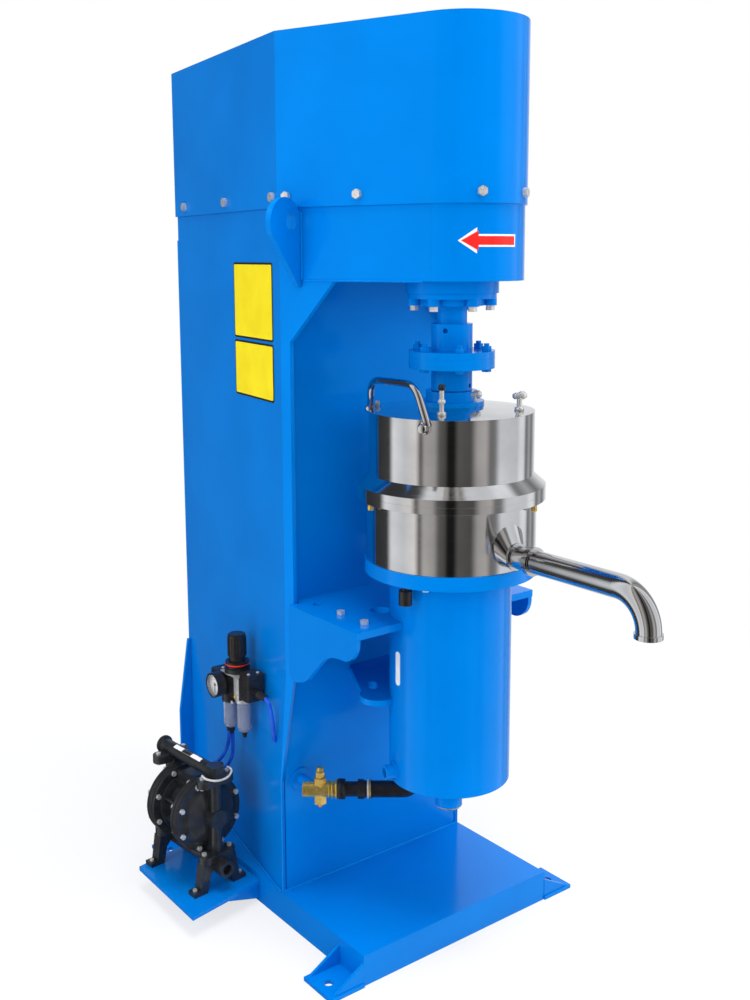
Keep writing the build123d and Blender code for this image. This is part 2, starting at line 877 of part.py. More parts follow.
# Mill shaft with the sleeves that space its discs
with BuildPart() as mill_shaft:
    round_prism(
        mill_shaft_r,
        shaft_joint_z - body_gap - mill_shaft_bottom_z,
        at(mill_shaft_bottom_z),
    )
    for i in range(disc_n):
        sleeve_z = disc_bottom_z + i * disc_pitch + disc_t
        if i < disc_n - 1:
            ring_prism(sleeve_r, mill_shaft_r - 1, disc_pitch - disc_t, at(sleeve_z))
write(mill_shaft.part, "mill_shaft")

with BuildPart() as mill_discs:
    for i in range(disc_n):
        with BuildSketch(at(disc_bottom_z + i * disc_pitch)):
            Circle(disc_r)
            Circle(mill_shaft_r + run_fit, mode=Mode.SUBTRACT)
            with PolarLocations(disc_hole_pcd / 2, disc_hole_n):
                Circle(disc_hole_r, mode=Mode.SUBTRACT)
        extrude(amount=disc_t)
write(mill_discs.part, "mill_discs")

# Cooling jacket with its water port and drain union, barrel and the flange that closes both
port_angle = radians(167)
port_plane = Plane(
    origin=((jacket_r - 3) * cos(port_angle), yy((jacket_r - 3) * sin(port_angle)), port_z),
    x_dir=(0, 0, 1),
    z_dir=(cos(port_angle), sin(port_angle), 0),
)
with BuildPart() as cooling_jacket:
    turned(
        [
            (0, jacket_bottom_z),
            (jacket_r, jacket_bottom_z),
            (jacket_r, flange_bottom_z),
            (jacket_r - jacket_wall, flange_bottom_z),
            (jacket_r - jacket_wall, jacket_bottom_z + vessel_end_t),
            (0, jacket_bottom_z + vessel_end_t),
        ],
        spindle_profile,
    )
    round_prism(port_r + 4, 7, port_plane)
    round_prism(port_r, 26, port_plane)
    round_prism(port_bore_r, 36, port_plane.offset(-6), Mode.SUBTRACT)
    hex_prism(drain_r, drain_h - 7, at(jacket_bottom_z - drain_h + 8))
    round_prism(drain_r - 7, 9, at(jacket_bottom_z - drain_h))
write(cooling_jacket.part, "cooling_jacket")

with BuildPart() as grinding_barrel:
    turned(
        [
            (0, jacket_bottom_z + vessel_end_t),
            (barrel_r, jacket_bottom_z + vessel_end_t),
            (barrel_r, flange_top_z),
            (barrel_r - barrel_wall, flange_top_z),
            (barrel_r - barrel_wall, barrel_floor_z + 4),
            (0, barrel_floor_z + 4),
        ],
        spindle_profile,
    )
write(grinding_barrel.part, "grinding_barrel")

with BuildPart() as vessel_flange:
    ring_prism(flange_r, barrel_r + run_fit, flange_top_z - flange_bottom_z, at(flange_bottom_z))
write(vessel_flange.part, "vessel_flange")

# Collecting drum with its floor, its upper flange and the outlet's flared boss
drum_bore = barrel_r + 8
with BuildPart() as collecting_drum:
    turned(
        [
            (drum_bore, flange_top_z),
            (drum_r, flange_top_z),
            (drum_r, ring_bottom_z),
            (ring_r, ring_bottom_z),
            (ring_r, ring_seam_z),
            (drum_r - drum_wall, ring_seam_z),
            (drum_r - drum_wall, flange_top_z + drum_floor_t),
            (drum_bore, flange_top_z + drum_floor_t),
        ],
        spindle_profile,
    )
    boss_face = Plane(
        origin=(0, yy(-148), outlet_z + boss_rise), x_dir=(1, 0, 0), z_dir=(0, -1, 0)
    )
    boss_end = Plane(
        origin=(0, yy(-outlet_boss_end), outlet_z), x_dir=(1, 0, 0), z_dir=(0, -1, 0)
    )
    with BuildSketch(boss_face):
        Ellipse(boss_half_w, boss_half_h)
    with BuildSketch(boss_end):
        Circle(pipe_r + 2)
    loft()
    round_prism(pipe_r, outlet_joint - outlet_boss_end, boss_end)
    round_prism(ferrule_r - 1, 4, boss_end)
    ferrule_plane = Plane(
        origin=(0, yy(-outlet_joint), outlet_z), x_dir=(1, 0, 0), z_dir=(0, 1, 0)
    )
    round_prism(ferrule_r, ferrule_t, ferrule_plane)
    inside = Plane(origin=(0, yy(-120), outlet_z), x_dir=(1, 0, 0), z_dir=(0, -1, 0))
    round_prism(pipe_r - pipe_wall, outlet_joint - 120, inside, Mode.SUBTRACT)
    with BuildSketch(at(flange_top_z + drum_floor_t)):
        Circle(drum_r - drum_wall)
    extrude(amount=ring_seam_z - flange_top_z - drum_floor_t, mode=Mode.SUBTRACT)
write(collecting_drum.part, "collecting_drum")

# Outlet pipe with its bend, held at the ferrule
pipe_plane = Plane(
    origin=(0, yy(-outlet_joint - body_gap), outlet_z), x_dir=(1, 0, 0), z_dir=(0, -1, 0)
)
lip_z = outlet_z - outlet_bend_r
with BuildPart() as outlet_pipe:
    with BuildLine():
        run_line = Line(
            (0, yy(-outlet_joint - body_gap), outlet_z), (0, yy(-outlet_weld), outlet_z)
        )
        bend_end = (0, yy(-outlet_weld - outlet_bend_r), outlet_z - outlet_bend_r)
        bend_mid = (
            0,
            yy(-outlet_weld - outlet_bend_r * sin(pi / 4)),
            outlet_z - outlet_bend_r * (1 - cos(pi / 4)),
        )
        ThreePointArc((0, yy(-outlet_weld), outlet_z), bend_mid, bend_end)
    with BuildSketch(pipe_plane):
        Circle(pipe_r)
        Circle(pipe_r - pipe_wall, mode=Mode.SUBTRACT)
    sweep()
    ring_prism(ferrule_r, pipe_r - pipe_wall, ferrule_t, pipe_plane)
    lip_plane = Plane(origin=(0, yy(-outlet_weld - outlet_bend_r), lip_z - outlet_lip_h))
    ring_prism(pipe_r + 2.4, pipe_r - pipe_wall, outlet_lip_h, lip_plane)
write(outlet_pipe.part, "outlet_pipe")

# Hood flange with its conical shoulder, and the hood that stands in it
hood_bore = hood_r - hood_wall - 4
with BuildPart() as hood_flange:
    turned(
        [
            (hood_bore, ring_seam_z),
            (ring_r, ring_seam_z),
            (ring_r, ring_top_z),
            (hood_r, cone_top_z),
            (hood_bore, cone_top_z),
        ],
        spindle_profile,
    )
write(hood_flange.part, "hood_flange")

hood_hole = mill_shaft_r + 12
crown_z = hood_rim_z + hood_crown
with BuildPart() as screen_hood:
    turned(
        [
            (hood_r - hood_wall, cone_top_z),
            (hood_r, cone_top_z),
            (hood_r, hood_rim_z),
            (neck_foot_r, crown_z),
            (hood_hole, crown_z),
            (hood_hole, crown_z - hood_wall),
            (neck_foot_r, crown_z - hood_wall),
            (hood_r - hood_wall, hood_rim_z - hood_wall),
        ],
        spindle_profile,
    )
write(screen_hood.part, "screen_hood")

with BuildPart() as screen_basket:
    screen_z = flange_top_z + drum_floor_t
    ring_prism(screen_r, screen_r - screen_wall, screen_h, at(screen_z))
    ring_prism(screen_r + 5, screen_r - screen_wall, 5, at(screen_z))
    ring_prism(screen_r + 5, screen_r - screen_wall, 5, at(screen_z + screen_h - 5))
write(screen_basket.part, "screen_basket")

# Seal neck on the hood, round the mill shaft
with BuildPart() as seal_neck:
    turned(
        [
            (mill_shaft_r + 1, crown_z),
            (neck_foot_r - 1, crown_z),
            (neck_foot_r - 1, crown_z + neck_foot_t),
            (neck_r, crown_z + neck_foot_t),
            (neck_r, neck_top_z),
            (mill_shaft_r + 1, neck_top_z),
        ],
        spindle_profile,
    )
write(seal_neck.part, "seal_neck")

# Hood handle: a bent bar on two bosses at the hood's wall
handle_r = 5.0
handle_points = [(-115.2, 115.2, 1043), (-142, 86, 1117), (-142, -56, 1117), (-140, -83.8, 1043)]
boss_len = 13.0


def handle_boss(point, reach):
    """Plane across the boss at a foot of the handle, at a distance from the spindle."""
    span = hypot(point[0], point[1])
    out = (point[0] / span, point[1] / span, 0)
    return Plane(
        origin=(reach * out[0], yy(reach * out[1]), 1047), x_dir=(0, 0, 1), z_dir=out
    )


with BuildPart() as hood_handle:
    with BuildLine():
        FilletPolyline(*[(x, yy(y), z) for x, y, z in handle_points], radius=14)
    start = handle_points[0]
    step = handle_points[1]
    foot_dir = (step[0] - start[0], step[1] - start[1], step[2] - start[2])
    with BuildSketch(Plane(origin=(start[0], yy(start[1]), start[2]), z_dir=foot_dir)):
        Circle(handle_r)
    sweep()
    for point in (handle_points[0], handle_points[3]):
        round_prism(8, boss_len, handle_boss(point, hood_r + body_gap))
write(hood_handle.part, "hood_handle")

# Screws under the drum's ring and through the handle's bosses
with BuildPart() as hood_screws:
    for angle in (-70, 50, 170):
        x = (drum_r + 9) * cos(radians(angle))
        y = yy((drum_r + 9) * sin(radians(angle)))
        hex_prism(
            ring_screw_r, ring_screw_h, Plane(origin=(x, y, ring_bottom_z - ring_screw_h))
        )
    for point in (handle_points[0], handle_points[3]):
        hex_prism(6.0, 5, handle_boss(point, hood_r + body_gap + boss_len))
write(hood_screws.part, "hood_screws")

# Studs that stand on the lid, each crossed by a bolt
stud_sites = ((18, -43), (74, -104), (-52, -96))
with BuildPart() as lid_studs:
    for x, run in stud_sites:
        round_prism(7.0, 34, Plane(origin=(x, yy(run), hood_rim_z)))
        hex_prism(
            6.5,
            26,
            Plane(origin=(x - 13, yy(run), hood_rim_z + 28), x_dir=(0, 0, 1), z_dir=(1, 0, 0)),
        )
    add(screen_hood.part, mode=Mode.SUBTRACT)
    add(seal_neck.part, mode=Mode.SUBTRACT)
write(lid_studs.part, "lid_studs")

# Capped vent under the vessel flange
with BuildPart() as vent_cap:
    vent_angle = radians(-167)
    vent_site = (140 * cos(vent_angle), yy(140 * sin(vent_angle)))
    round_prism(8, 12, Plane(origin=(*vent_site, flange_bottom_z - 12)))
    round_prism(12.5, 27, Plane(origin=(*vent_site, flange_bottom_z - 39)))
write(vent_cap.part, "vent_cap")

# Motor hung from a plate between the column's sides
motor_profile = Plane(origin=(0, yy(motor_run), 0), x_dir=(1, 0, 0), z_dir=(0, -1, 0))
motor_bore = motor_shaft_r + run_fit
with BuildPart() as motor_body:
    turned(
        [
            (motor_bore, motor_bottom_z),
            (motor_r, motor_bottom_z),
            (motor_r, motor_top_z - motor_flange_t),
            (motor_flange_r, motor_top_z - motor_flange_t),
            (motor_flange_r, motor_top_z),
            (motor_bore, motor_top_z),
            (motor_bore, motor_top_z - 24),
            (motor_r - 26, motor_top_z - 24),
            (motor_r - 26, motor_bottom_z + 20),
            (motor_bore, motor_bottom_z + 20),
        ],
        motor_profile,
    )
    with BuildSketch(Plane(origin=(0, yy(motor_run), motor_bottom_z + 30))):
        with PolarLocations(motor_r + motor_fin_h / 2 - 1, motor_fin_n):
            Rectangle(motor_fin_h + 2, motor_fin_t)
    extrude(amount=motor_top_z - motor_bottom_z - 80)
    with BuildSketch(Plane(origin=(0, yy(motor_run) + motor_r + 26, motor_bottom_z + 140))):
        Rectangle(100, 64)
    extrude(amount=120)
write(motor_body.part, "motor_body")

with BuildPart() as motor_rotor:
    round_prism(
        motor_shaft_r, drive_z + 40 - motor_bottom_z, Plane(origin=(0, yy(motor_run), motor_bottom_z))
    )
    round_prism(
        motor_r - 28,
        motor_top_z - motor_bottom_z - 70,
        Plane(origin=(0, yy(motor_run), motor_bottom_z + 35)),
    )
write(motor_rotor.part, "motor_rotor")

plate_near = rear_inner_x(motor_run - 150) - body_gap
plate_far = rear_inner_x(motor_run + 160) - body_gap
with BuildPart() as motor_plate:
    with BuildSketch(Plane.XY.offset(motor_top_z)):
        with BuildLine():
            Polyline(
                (-plate_near, yy(motor_run - 150)),
                (plate_near, yy(motor_run - 150)),
                (plate_far, yy(motor_run + 160)),
                (-plate_far, yy(motor_run + 160)),
                close=True,
            )
        make_face()
        with Locations((0, yy(motor_run))):
            Circle(motor_shaft_r + 12, mode=Mode.SUBTRACT)
    extrude(amount=motor_plate_t)
write(motor_plate.part, "motor_plate")

# Hexagon bolts of the shelf, the bearing cap, the vessel flange and the motor
with BuildPart() as frame_bolts:
    for sx in (-1, 1):
        for run in (38, 112):
            hex_prism(shelf_bolt_r, shelf_bolt_h, Plane(origin=(sx * 178, yy(run), shelf_top_z)))
    for i in range(cap_bolt_n):
        angle = radians(20 + i * 360 / cap_bolt_n)
        x = cap_bolt_pcd / 2 * cos(angle)
        y = yy(cap_bolt_pcd / 2 * sin(angle))
        hex_prism(cap_bolt_r, cap_bolt_h, Plane(origin=(x, y, cap_bottom_z - cap_bolt_h)))
    for angle in (-150, -60, 30, 120):
        x = 140 * cos(radians(angle))
        y = yy(140 * sin(radians(angle)))
        hex_prism(
            flange_bolt_r, flange_bolt_h, Plane(origin=(x, y, flange_bottom_z - flange_bolt_h))
        )
    for angle in (45, 135, 225, 315):
        x = 128 * cos(radians(angle))
        y = yy(motor_run + 128 * sin(radians(angle)))
        hex_prism(9.0, 8, Plane(origin=(x, y, motor_top_z + motor_plate_t)))
write(frame_bolts.part, "frame_bolts")


def pulley_points(rim, bore, z):
    """Half profile of a grooved pulley that stands on z."""
    points = [(bore, z), (rim, z)]
    for i in range(groove_n):
        mid = z + (i + 0.5) * groove_pitch
        points += [
            (rim, mid - groove_mouth / 2),
            (rim - groove_depth, mid - groove_foot / 2),
            (rim - groove_depth, mid + groove_foot / 2),
            (rim, mid + groove_mouth / 2),
        ]
    return points + [(rim, z + pulley_h), (bore, z + pulley_h)]


pulley_z = drive_z - pulley_h / 2
with BuildPart() as spindle_pulley:
    turned(pulley_points(spindle_pulley_r, spindle_r + run_fit, pulley_z), spindle_profile)
write(spindle_pulley.part, "spindle_pulley")

with BuildPart() as motor_pulley:
    turned(pulley_points(motor_pulley_r, motor_bore, pulley_z), motor_profile)
write(motor_pulley.part, "motor_pulley")


def belt_face(grow, mode=Mode.ADD):
    """Loop round both groove floors, moved out by grow, for the open sketch."""
    front = spindle_pulley_r - groove_depth + body_gap + grow
    rear = motor_pulley_r - groove_depth + body_gap + grow
    lean_y = (front - rear) / motor_run
    lean_x = sqrt(1 - lean_y**2)
    near = (front * lean_x, mill_y + front * lean_y)
    far = (rear * lean_x, yy(motor_run) + rear * lean_y)
    with BuildLine() as edge:
        Line(near, far)
        ThreePointArc(far, (0, yy(motor_run) + rear), flip(far))
        Line(flip(far), flip(near))
        ThreePointArc(flip(near), (0, mill_y - front), near)
    make_face(edge.edges(), mode=mode)


with BuildPart() as drive_belts:
    for i in range(groove_n):
        mid = pulley_z + (i + 0.5) * groove_pitch
        with BuildSketch(Plane.XY.offset(mid - belt_w / 2)):
            belt_face(belt_h)
            belt_face(0, Mode.SUBTRACT)
        extrude(amount=belt_w)
write(drive_belts.part, "drive_belts")

# Feed line: valve, union and hose to the vessel's floor
valve_plane = Plane(origin=(cock_x, yy(cock_run), line_z - 29))
with BuildPart() as feed_valve:
    round_prism(cock_r, 2 * 35, line_plane(-35))
    hex_prism(13, 54, valve_plane)
    round_prism(port_passage_r, 2 * 36, line_plane(-36), Mode.SUBTRACT)
    round_prism(port_thread_r - 0.5, port_thread_len, line_plane(-35), Mode.SUBTRACT)
    round_prism(6 + run_fit, 16, valve_plane.offset(39), Mode.SUBTRACT)
    round_prism(3.5, 9, valve_plane.offset(-8))
write(feed_valve.part, "feed_valve")

with BuildPart() as valve_stem:
    round_prism(6, 16, valve_plane.offset(39 + body_gap))
    hex_prism(9.5, 12, valve_plane.offset(54 + body_gap))
write(valve_stem.part, "valve_stem")

with BuildPart() as hose_union:
    hex_prism(20, 16, line_plane(35))
    round_prism(15, 24, line_plane(51))
    round_prism(19, 13, line_plane(75))
    round_prism(17, 10, line_plane(88))
    round_prism(18.6, 5, line_plane(98))
    round_prism(port_passage_r, 70, line_plane(34), Mode.SUBTRACT)
write(hose_union.part, "hose_union")

hose_turn = 186.0
turn_x = cock_x + hose_turn * line_dir[0]
turn_y = yy(cock_run + hose_turn * line_dir[1])
hose_start = line_plane(103)
with BuildPart() as feed_hose:
    with BuildLine():
        FilletPolyline(
            hose_start.origin,
            (turn_x, turn_y, line_z),
            (turn_x, turn_y, jacket_bottom_z - body_gap),
            radius=20,
        )
    with BuildSketch(hose_start):
        Circle(hose_r)
        Circle(9.5, mode=Mode.SUBTRACT)
    sweep()
write(feed_hose.part, "feed_hose")

def side_x(run, z):
    """Outer x of the left side plate behind its corner, below the flare's top."""
    flare = (flare_top_z - z) / (flare_top_z - flare_z)
    half = corner_half_w + flare * (flare_half_w - corner_half_w)
    share = (run - corner_run) / (back_run - corner_run)
    return -(half - share * (half - back_half_w))


# Air set: body with its bracket, lock ring, knob, gauge and bowls
bonnet_run = air_run - 4
air_top_z = air_z + air_block_h / 2
air_low_z = air_z - air_block_h / 2
bowl_runs = (air_run - bowl_spacing / 2, air_run + bowl_spacing / 2)
bowl_drops = (0.0, rear_bowl_drop)
port_block_h = 56.0
with BuildPart() as air_body:
    with BuildSketch(Plane(origin=(air_x, yy(air_run), air_low_z))):
        Rectangle(air_block_w, air_block_len)
        chamfer(vertices(), length=4)
    extrude(amount=air_block_h)
    with BuildSketch(Plane(origin=(air_x, yy(air_run), air_z - 15))):
        Rectangle(air_block_w - 8, air_block_len + 2 * port_block_len)
        chamfer(vertices(), length=3)
    extrude(amount=30)
    front_block = air_run - air_block_len / 2 - port_block_len / 2
    with BuildSketch(Plane(origin=(air_x, yy(front_block), air_low_z + 6))):
        Rectangle(air_block_w - 4, port_block_len)
        chamfer(vertices(), length=3)
    extrude(amount=port_block_h)
    round_prism(bonnet_r, 12, Plane(origin=(air_x, yy(bonnet_run), air_top_z)))
    round_prism(bonnet_r - 4, 18, Plane(origin=(air_x, yy(bonnet_run), air_top_z)))
    port_face = Plane(
        origin=(air_x, yy(front_block - port_block_len / 2), air_z), z_dir=(0, -1, 0)
    )
    round_prism(8, 8, port_face)
    for run, drop in zip(bowl_runs, bowl_drops):
        round_prism(bowl_r + 3, 9 + drop, Plane(origin=(air_x, yy(run), air_low_z - 9 - drop)))
    with BuildSketch(Plane.XY.offset(air_z - 14)):
        with BuildLine():
            Polyline(
                (air_x, yy(air_run - 12)),
                (side_x(air_run - 12, air_z - 14) - body_gap, yy(air_run - 12)),
                (side_x(air_run + 12, air_z - 14) - body_gap, yy(air_run + 12)),
                (air_x, yy(air_run + 12)),
                close=True,
            )
        make_face()
    extrude(amount=28)
write(air_body.part, "air_body")

ring_z = air_top_z + 18
with BuildPart() as lock_ring:
    round_prism(bonnet_r - 2, 8, Plane(origin=(air_x, yy(bonnet_run), ring_z)))
write(lock_ring.part, "lock_ring")

with BuildPart() as regulator_knob:
    knob_plane = Plane(origin=(air_x, yy(bonnet_run), ring_z + 8 + body_gap))
    round_prism(knob_r - 3, knob_h + 12, knob_plane)
    round_prism(knob_r - 1, knob_h, knob_plane.offset(10))
    with BuildSketch(knob_plane.offset(12)):
        with PolarLocations(knob_r - 1.5, 18):
            Rectangle(3, 3.2)
    extrude(amount=knob_h - 8)
write(regulator_knob.part, "regulator_knob")

gauge_plane = Plane(
    origin=(air_x - air_block_w / 2, yy(air_run + 16), air_z), x_dir=(0, 1, 0), z_dir=(-1, 0, 0)
)
with BuildPart() as gauge_case:
    round_prism(9, 10, gauge_plane)
    round_prism(gauge_r, gauge_len - 8, gauge_plane.offset(8))
    round_prism(gauge_r - 3, 9, gauge_plane.offset(gauge_len - 8), Mode.SUBTRACT)
write(gauge_case.part, "gauge_case")

with BuildPart() as gauge_needle:
    needle_plane = gauge_plane.offset(gauge_len - 8 + body_gap)
    round_prism(2.5, 2.5, needle_plane)
    with BuildSketch(needle_plane.offset(1)):
        with Locations((0, 6)):
            Rectangle(1.6, 22)
    extrude(amount=1)
write(gauge_needle.part, "gauge_needle")

bowl_tops = [air_low_z - 9 - drop - body_gap for drop in bowl_drops]
bowl_hs = (bowl_h, bowl_h - rear_bowl_drop / 2)
with BuildPart() as filter_bowls:
    for run, top_z, bowl_len in zip(bowl_runs, bowl_tops, bowl_hs):
        bowl_plane = Plane(origin=(air_x, yy(run), 0), x_dir=(1, 0, 0), z_dir=(0, -1, 0))
        low_z = top_z - bowl_len
        turned(
            [
                (0, low_z),
                (bowl_r - 7, low_z),
                (bowl_r - 2, low_z + 4),
                (bowl_r, low_z + 11),
                (bowl_r, top_z),
                (bowl_r - bowl_wall, top_z),
                (bowl_r - bowl_wall, low_z + 11),
                (bowl_r - bowl_wall - 5, low_z + 3),
                (0, low_z + 3),
            ],
            bowl_plane,
        )
write(filter_bowls.part, "filter_bowls")

drain_tops = [top_z - bowl_len - body_gap for top_z, bowl_len in zip(bowl_tops, bowl_hs)]
with BuildPart() as drain_cock_front:
    round_prism(6, 6, Plane(origin=(air_x, yy(bowl_runs[0]), drain_tops[0] - 6)))
    round_prism(4, 12, Plane(origin=(air_x, yy(bowl_runs[0]), drain_tops[0] - 12)))
write(drain_cock_front.part, "drain_cock_front")

with BuildPart() as drain_cock_rear:
    round_prism(9, 8, Plane(origin=(air_x, yy(bowl_runs[1]), drain_tops[1] - 8)))
    round_prism(6, 14, Plane(origin=(air_x, yy(bowl_runs[1]), drain_tops[1] - 14)))
write(drain_cock_rear.part, "drain_cock_rear")

# Air tubes: one from the column, two to the pump
tube_r = 4.0
port_end = air_run - air_block_len / 2 - port_block_len
supply_run = port_end - 32
supply_z = air_z - 84
supply_plane = Plane(origin=(air_x, yy(port_end - 8) - body_gap, air_z), z_dir=(0, -1, 0))
supply_path = [
    supply_plane.origin,
    (air_x, yy(supply_run), air_z),
    (air_x, yy(supply_run), supply_z),
    (side_x(supply_run, supply_z - tube_r) - 2 * body_gap, yy(supply_run), supply_z),
]
tube_run = air_run + bowl_spacing / 2 + 28
tube_z = platform_z + pump_axis_h + pump_disc_r - 20
turn = radians(pump_turn)
tube_off = tube_run - tube_r - pump_run
block_x = pump_x + (block_half_x - tube_off * sin(turn)) / cos(turn) + body_gap
tube_paths = [(supply_plane, supply_path, 5.5)]
for shift, drop in ((-8, 0), (8, 14)):
    tube_plane = Plane(
        origin=(air_x + shift, yy(tube_run), air_z - 15 - body_gap), z_dir=(0, 0, -1)
    )
    tube_path = [
        tube_plane.origin,
        (air_x + shift, yy(tube_run), tube_z - drop),
        (block_x, yy(tube_run), tube_z - drop),
    ]
    tube_paths.append((tube_plane, tube_path, 20))
with BuildPart() as air_tubes:
    for tube_plane, tube_path, bend_r in tube_paths:
        with BuildLine():
            FilletPolyline(*tube_path, radius=bend_r)
        with BuildSketch(tube_plane):
            Circle(tube_r)
            Circle(tube_r - 1.2, mode=Mode.SUBTRACT)
        sweep()
write(air_tubes.part, "air_tubes")

# Platform on the base's left side, with its gusset
base_side = -base_w / 2 - body_gap
platform_near = platform_run + 34
platform_far = platform_run + platform_len + 30
with BuildPart() as pump_platform:
    with BuildSketch(Plane.XY.offset(platform_z - platform_t)):
        with BuildLine():
            Polyline(
                (platform_left - 4, yy(platform_run)),
                (base_side, yy(platform_near)),
                (base_side, yy(platform_far)),
                (platform_left - 2, yy(platform_run + platform_len - 4)),
                close=True,
            )
        make_face()
    extrude(amount=platform_t)
    for run in (platform_near + 12, platform_far - 30):
        with BuildSketch(Plane(origin=(0, yy(run), 0), x_dir=(1, 0, 0), z_dir=(0, -1, 0))):
            with BuildLine():
                Polyline(
                    (base_side, 6),
                    (base_side, platform_z - platform_t),
                    (base_side - 130, platform_z - platform_t),
                    close=True,
                )
            make_face()
        extrude(amount=6)
write(pump_platform.part, "pump_platform")

# Diaphragm pump, in its own frame: y along the rod, h above the platform
def pump_at(x, y, h, z_dir=(0, 0, 1)):
    """Plane at a point of the pump's own frame, with its normal along z_dir."""
    origin = (
        pump_x + x * cos(turn) - y * sin(turn),
        yy(pump_run) + x * sin(turn) + y * cos(turn),
        platform_z + h,
    )
    normal = (
        z_dir[0] * cos(turn) - z_dir[1] * sin(turn),
        z_dir[0] * sin(turn) + z_dir[1] * cos(turn),
        z_dir[2],
    )
    return Plane(origin=origin, x_dir=(cos(turn), sin(turn), 0), z_dir=normal)


plate_r = 50.0
plate_t = 4.0
plate_y = pump_disc_y - 2
stroke = 8.0
recess_r = plate_r + 4
recess_y = plate_y - stroke - 2
with BuildPart() as pump_centre:
    round_prism(pump_drum_r, 2 * recess_y, pump_at(0, -recess_y, pump_axis_h, (0, 1, 0)))
    for side in (-1, 1):
        turned(
            [
                (0, recess_y - 10),
                (pump_drum_r, recess_y - 14),
                (recess_r + 8, recess_y - 10),
                (recess_r + 8, recess_y - 6),
                (pump_disc_r, recess_y - 6),
                (pump_disc_r, recess_y + 1),
                (pump_disc_r - 2, recess_y + 2),
                (pump_disc_r - 2, recess_y + 3),
                (pump_disc_r, recess_y + 4),
                (pump_disc_r, pump_disc_y),
                (0, pump_disc_y),
            ],
            pump_at(0, 0, pump_axis_h, (0, 0, side)),
        )
    with BuildSketch(pump_at(0, -recess_y + 8, pump_axis_h, (0, 1, 0))):
        for i in range(4):
            Rectangle(2 * (pump_drum_r + 14), 4, rotation=22.5 + i * 45)
    extrude(amount=2 * recess_y - 16)
    with BuildSketch(pump_at(0, 0, pump_axis_h)):
        Rectangle(2 * block_half_x, 2 * block_half_y)
    extrude(amount=pump_disc_r - 6)
    for side in (-1, 1):
        recess = pump_at(0, side * recess_y, pump_axis_h, (0, side, 0))
        round_prism(recess_r, pump_disc_y - recess_y, recess, Mode.SUBTRACT)
    bore_plane = pump_at(0, -pump_disc_y, pump_axis_h, (0, 1, 0))
    round_prism(pump_rod_r + run_fit, 2 * pump_disc_y, bore_plane, Mode.SUBTRACT)
write(pump_centre.part, "pump_centre")

with BuildPart() as pump_rod:
    round_prism(
        pump_rod_r, 2 * (plate_y + plate_t), pump_at(0, -plate_y - plate_t, pump_axis_h, (0, 1, 0))
    )
    for side in (-1, 1):
        round_prism(plate_r, plate_t, pump_at(0, side * plate_y, pump_axis_h, (0, side, 0)))
write(pump_rod.part, "pump_rod")

riser_top = manifold_top_h - manifold_r - 2
riser_low = manifold_low_h + manifold_r + 6
cap_start = pump_disc_y + body_gap
cap_face = cap_start + pump_flange_t
cap_room = plate_y + plate_t + stroke + 1
crown_y = cap_room + 8


def pad(plane, h):
    """Two-bolt oval flange on a plane, in the open part."""
    with BuildSketch(plane) as face:
        SlotOverall(pad_len, pad_w)
    extrude(face.sketch, amount=h)


with BuildPart() as pump_caps:
    for side in (-1, 1):
        turned(
            [
                (recess_r, cap_start),
                (pump_disc_r, cap_start),
                (pump_disc_r, cap_start + 3),
                (pump_disc_r - 2, cap_start + 4),
                (pump_disc_r, cap_start + 5),
                (pump_disc_r, cap_face),
                (recess_r + 12, cap_face),
                (recess_r + 8, cap_face + 4),
                (recess_r + 3, cap_face + 8),
                (pump_boss_r + 8, crown_y + 3),
                (pump_boss_r, crown_y + 4),
                (pump_boss_r, pump_riser_y + pump_riser_r + 2),
                (0, pump_riser_y + pump_riser_r + 2),
                (0, cap_room),
                (recess_r - 3, cap_room),
                (recess_r, cap_room - 3),
            ],
            pump_at(0, 0, pump_axis_h, (0, 0, side)),
        )
        outward = (0, side, 0)
        with BuildSketch(pump_at(0, side * cap_face, pump_axis_h, outward)):
            for i in range(4):
                Rectangle(2 * (recess_r + 10), 4, rotation=22.5 + i * 45)
        extrude(amount=pump_flange_t)
        riser_y = side * pump_riser_y
        round_prism(pump_riser_r, riser_top - riser_low, pump_at(0, riser_y, riser_low))
        with BuildSketch(pump_at(0, side * (cap_face + pump_riser_y) / 2, riser_low)):
            Rectangle(pump_riser_r + 4, pump_riser_y - cap_face)
        extrude(amount=riser_top - riser_low)
        pad(pump_at(0, riser_y, riser_top - pad_t), pad_t)
        pad(pump_at(0, riser_y, riser_low), pad_t)
        cavity = pump_at(0, side * (cap_start - 1), pump_axis_h, outward)
        round_prism(recess_r - 3, cap_room - cap_start + 1, cavity, Mode.SUBTRACT)
write(pump_caps.part, "pump_caps")

with BuildPart() as upper_manifold:
    tube_start = pump_at(0, -pump_riser_y, manifold_top_h, (0, 1, 0))
    round_prism(manifold_r, pump_riser_y + outlet_flare_y, tube_start)
    with BuildSketch(pump_at(0, outlet_flare_y - 8, manifold_top_h, (0, 1, 0))):
        Circle(manifold_r)
    flare_end = pump_at(0, outlet_flare_y - 4, manifold_top_h, (0, 1, 0))
    with BuildSketch(flare_end):
        Circle(outlet_flare_r)
    loft()
    round_prism(outlet_flare_r, 4, flare_end)
    for side in (-1, 1):
        pad(pump_at(0, side * pump_riser_y, riser_top + body_gap), pad_t)
    elbow = pump_at(0, -pump_riser_y, riser_top + body_gap)
    with BuildSketch(elbow):
        Rectangle(2 * manifold_r, 2 * manifold_r + 6)
        chamfer(vertices(), length=6)
    extrude(amount=manifold_top_h + manifold_r - riser_top - body_gap)
    round_prism(
        port_passage_r,
        pump_riser_y + outlet_flare_y,
        tube_start,
        Mode.SUBTRACT,
    )
    thread_plane = pump_at(0, outlet_flare_y - port_thread_len, manifold_top_h, (0, 1, 0))
    round_prism(port_thread_r, port_thread_len, thread_plane, Mode.SUBTRACT)
write(upper_manifold.part, "upper_manifold")

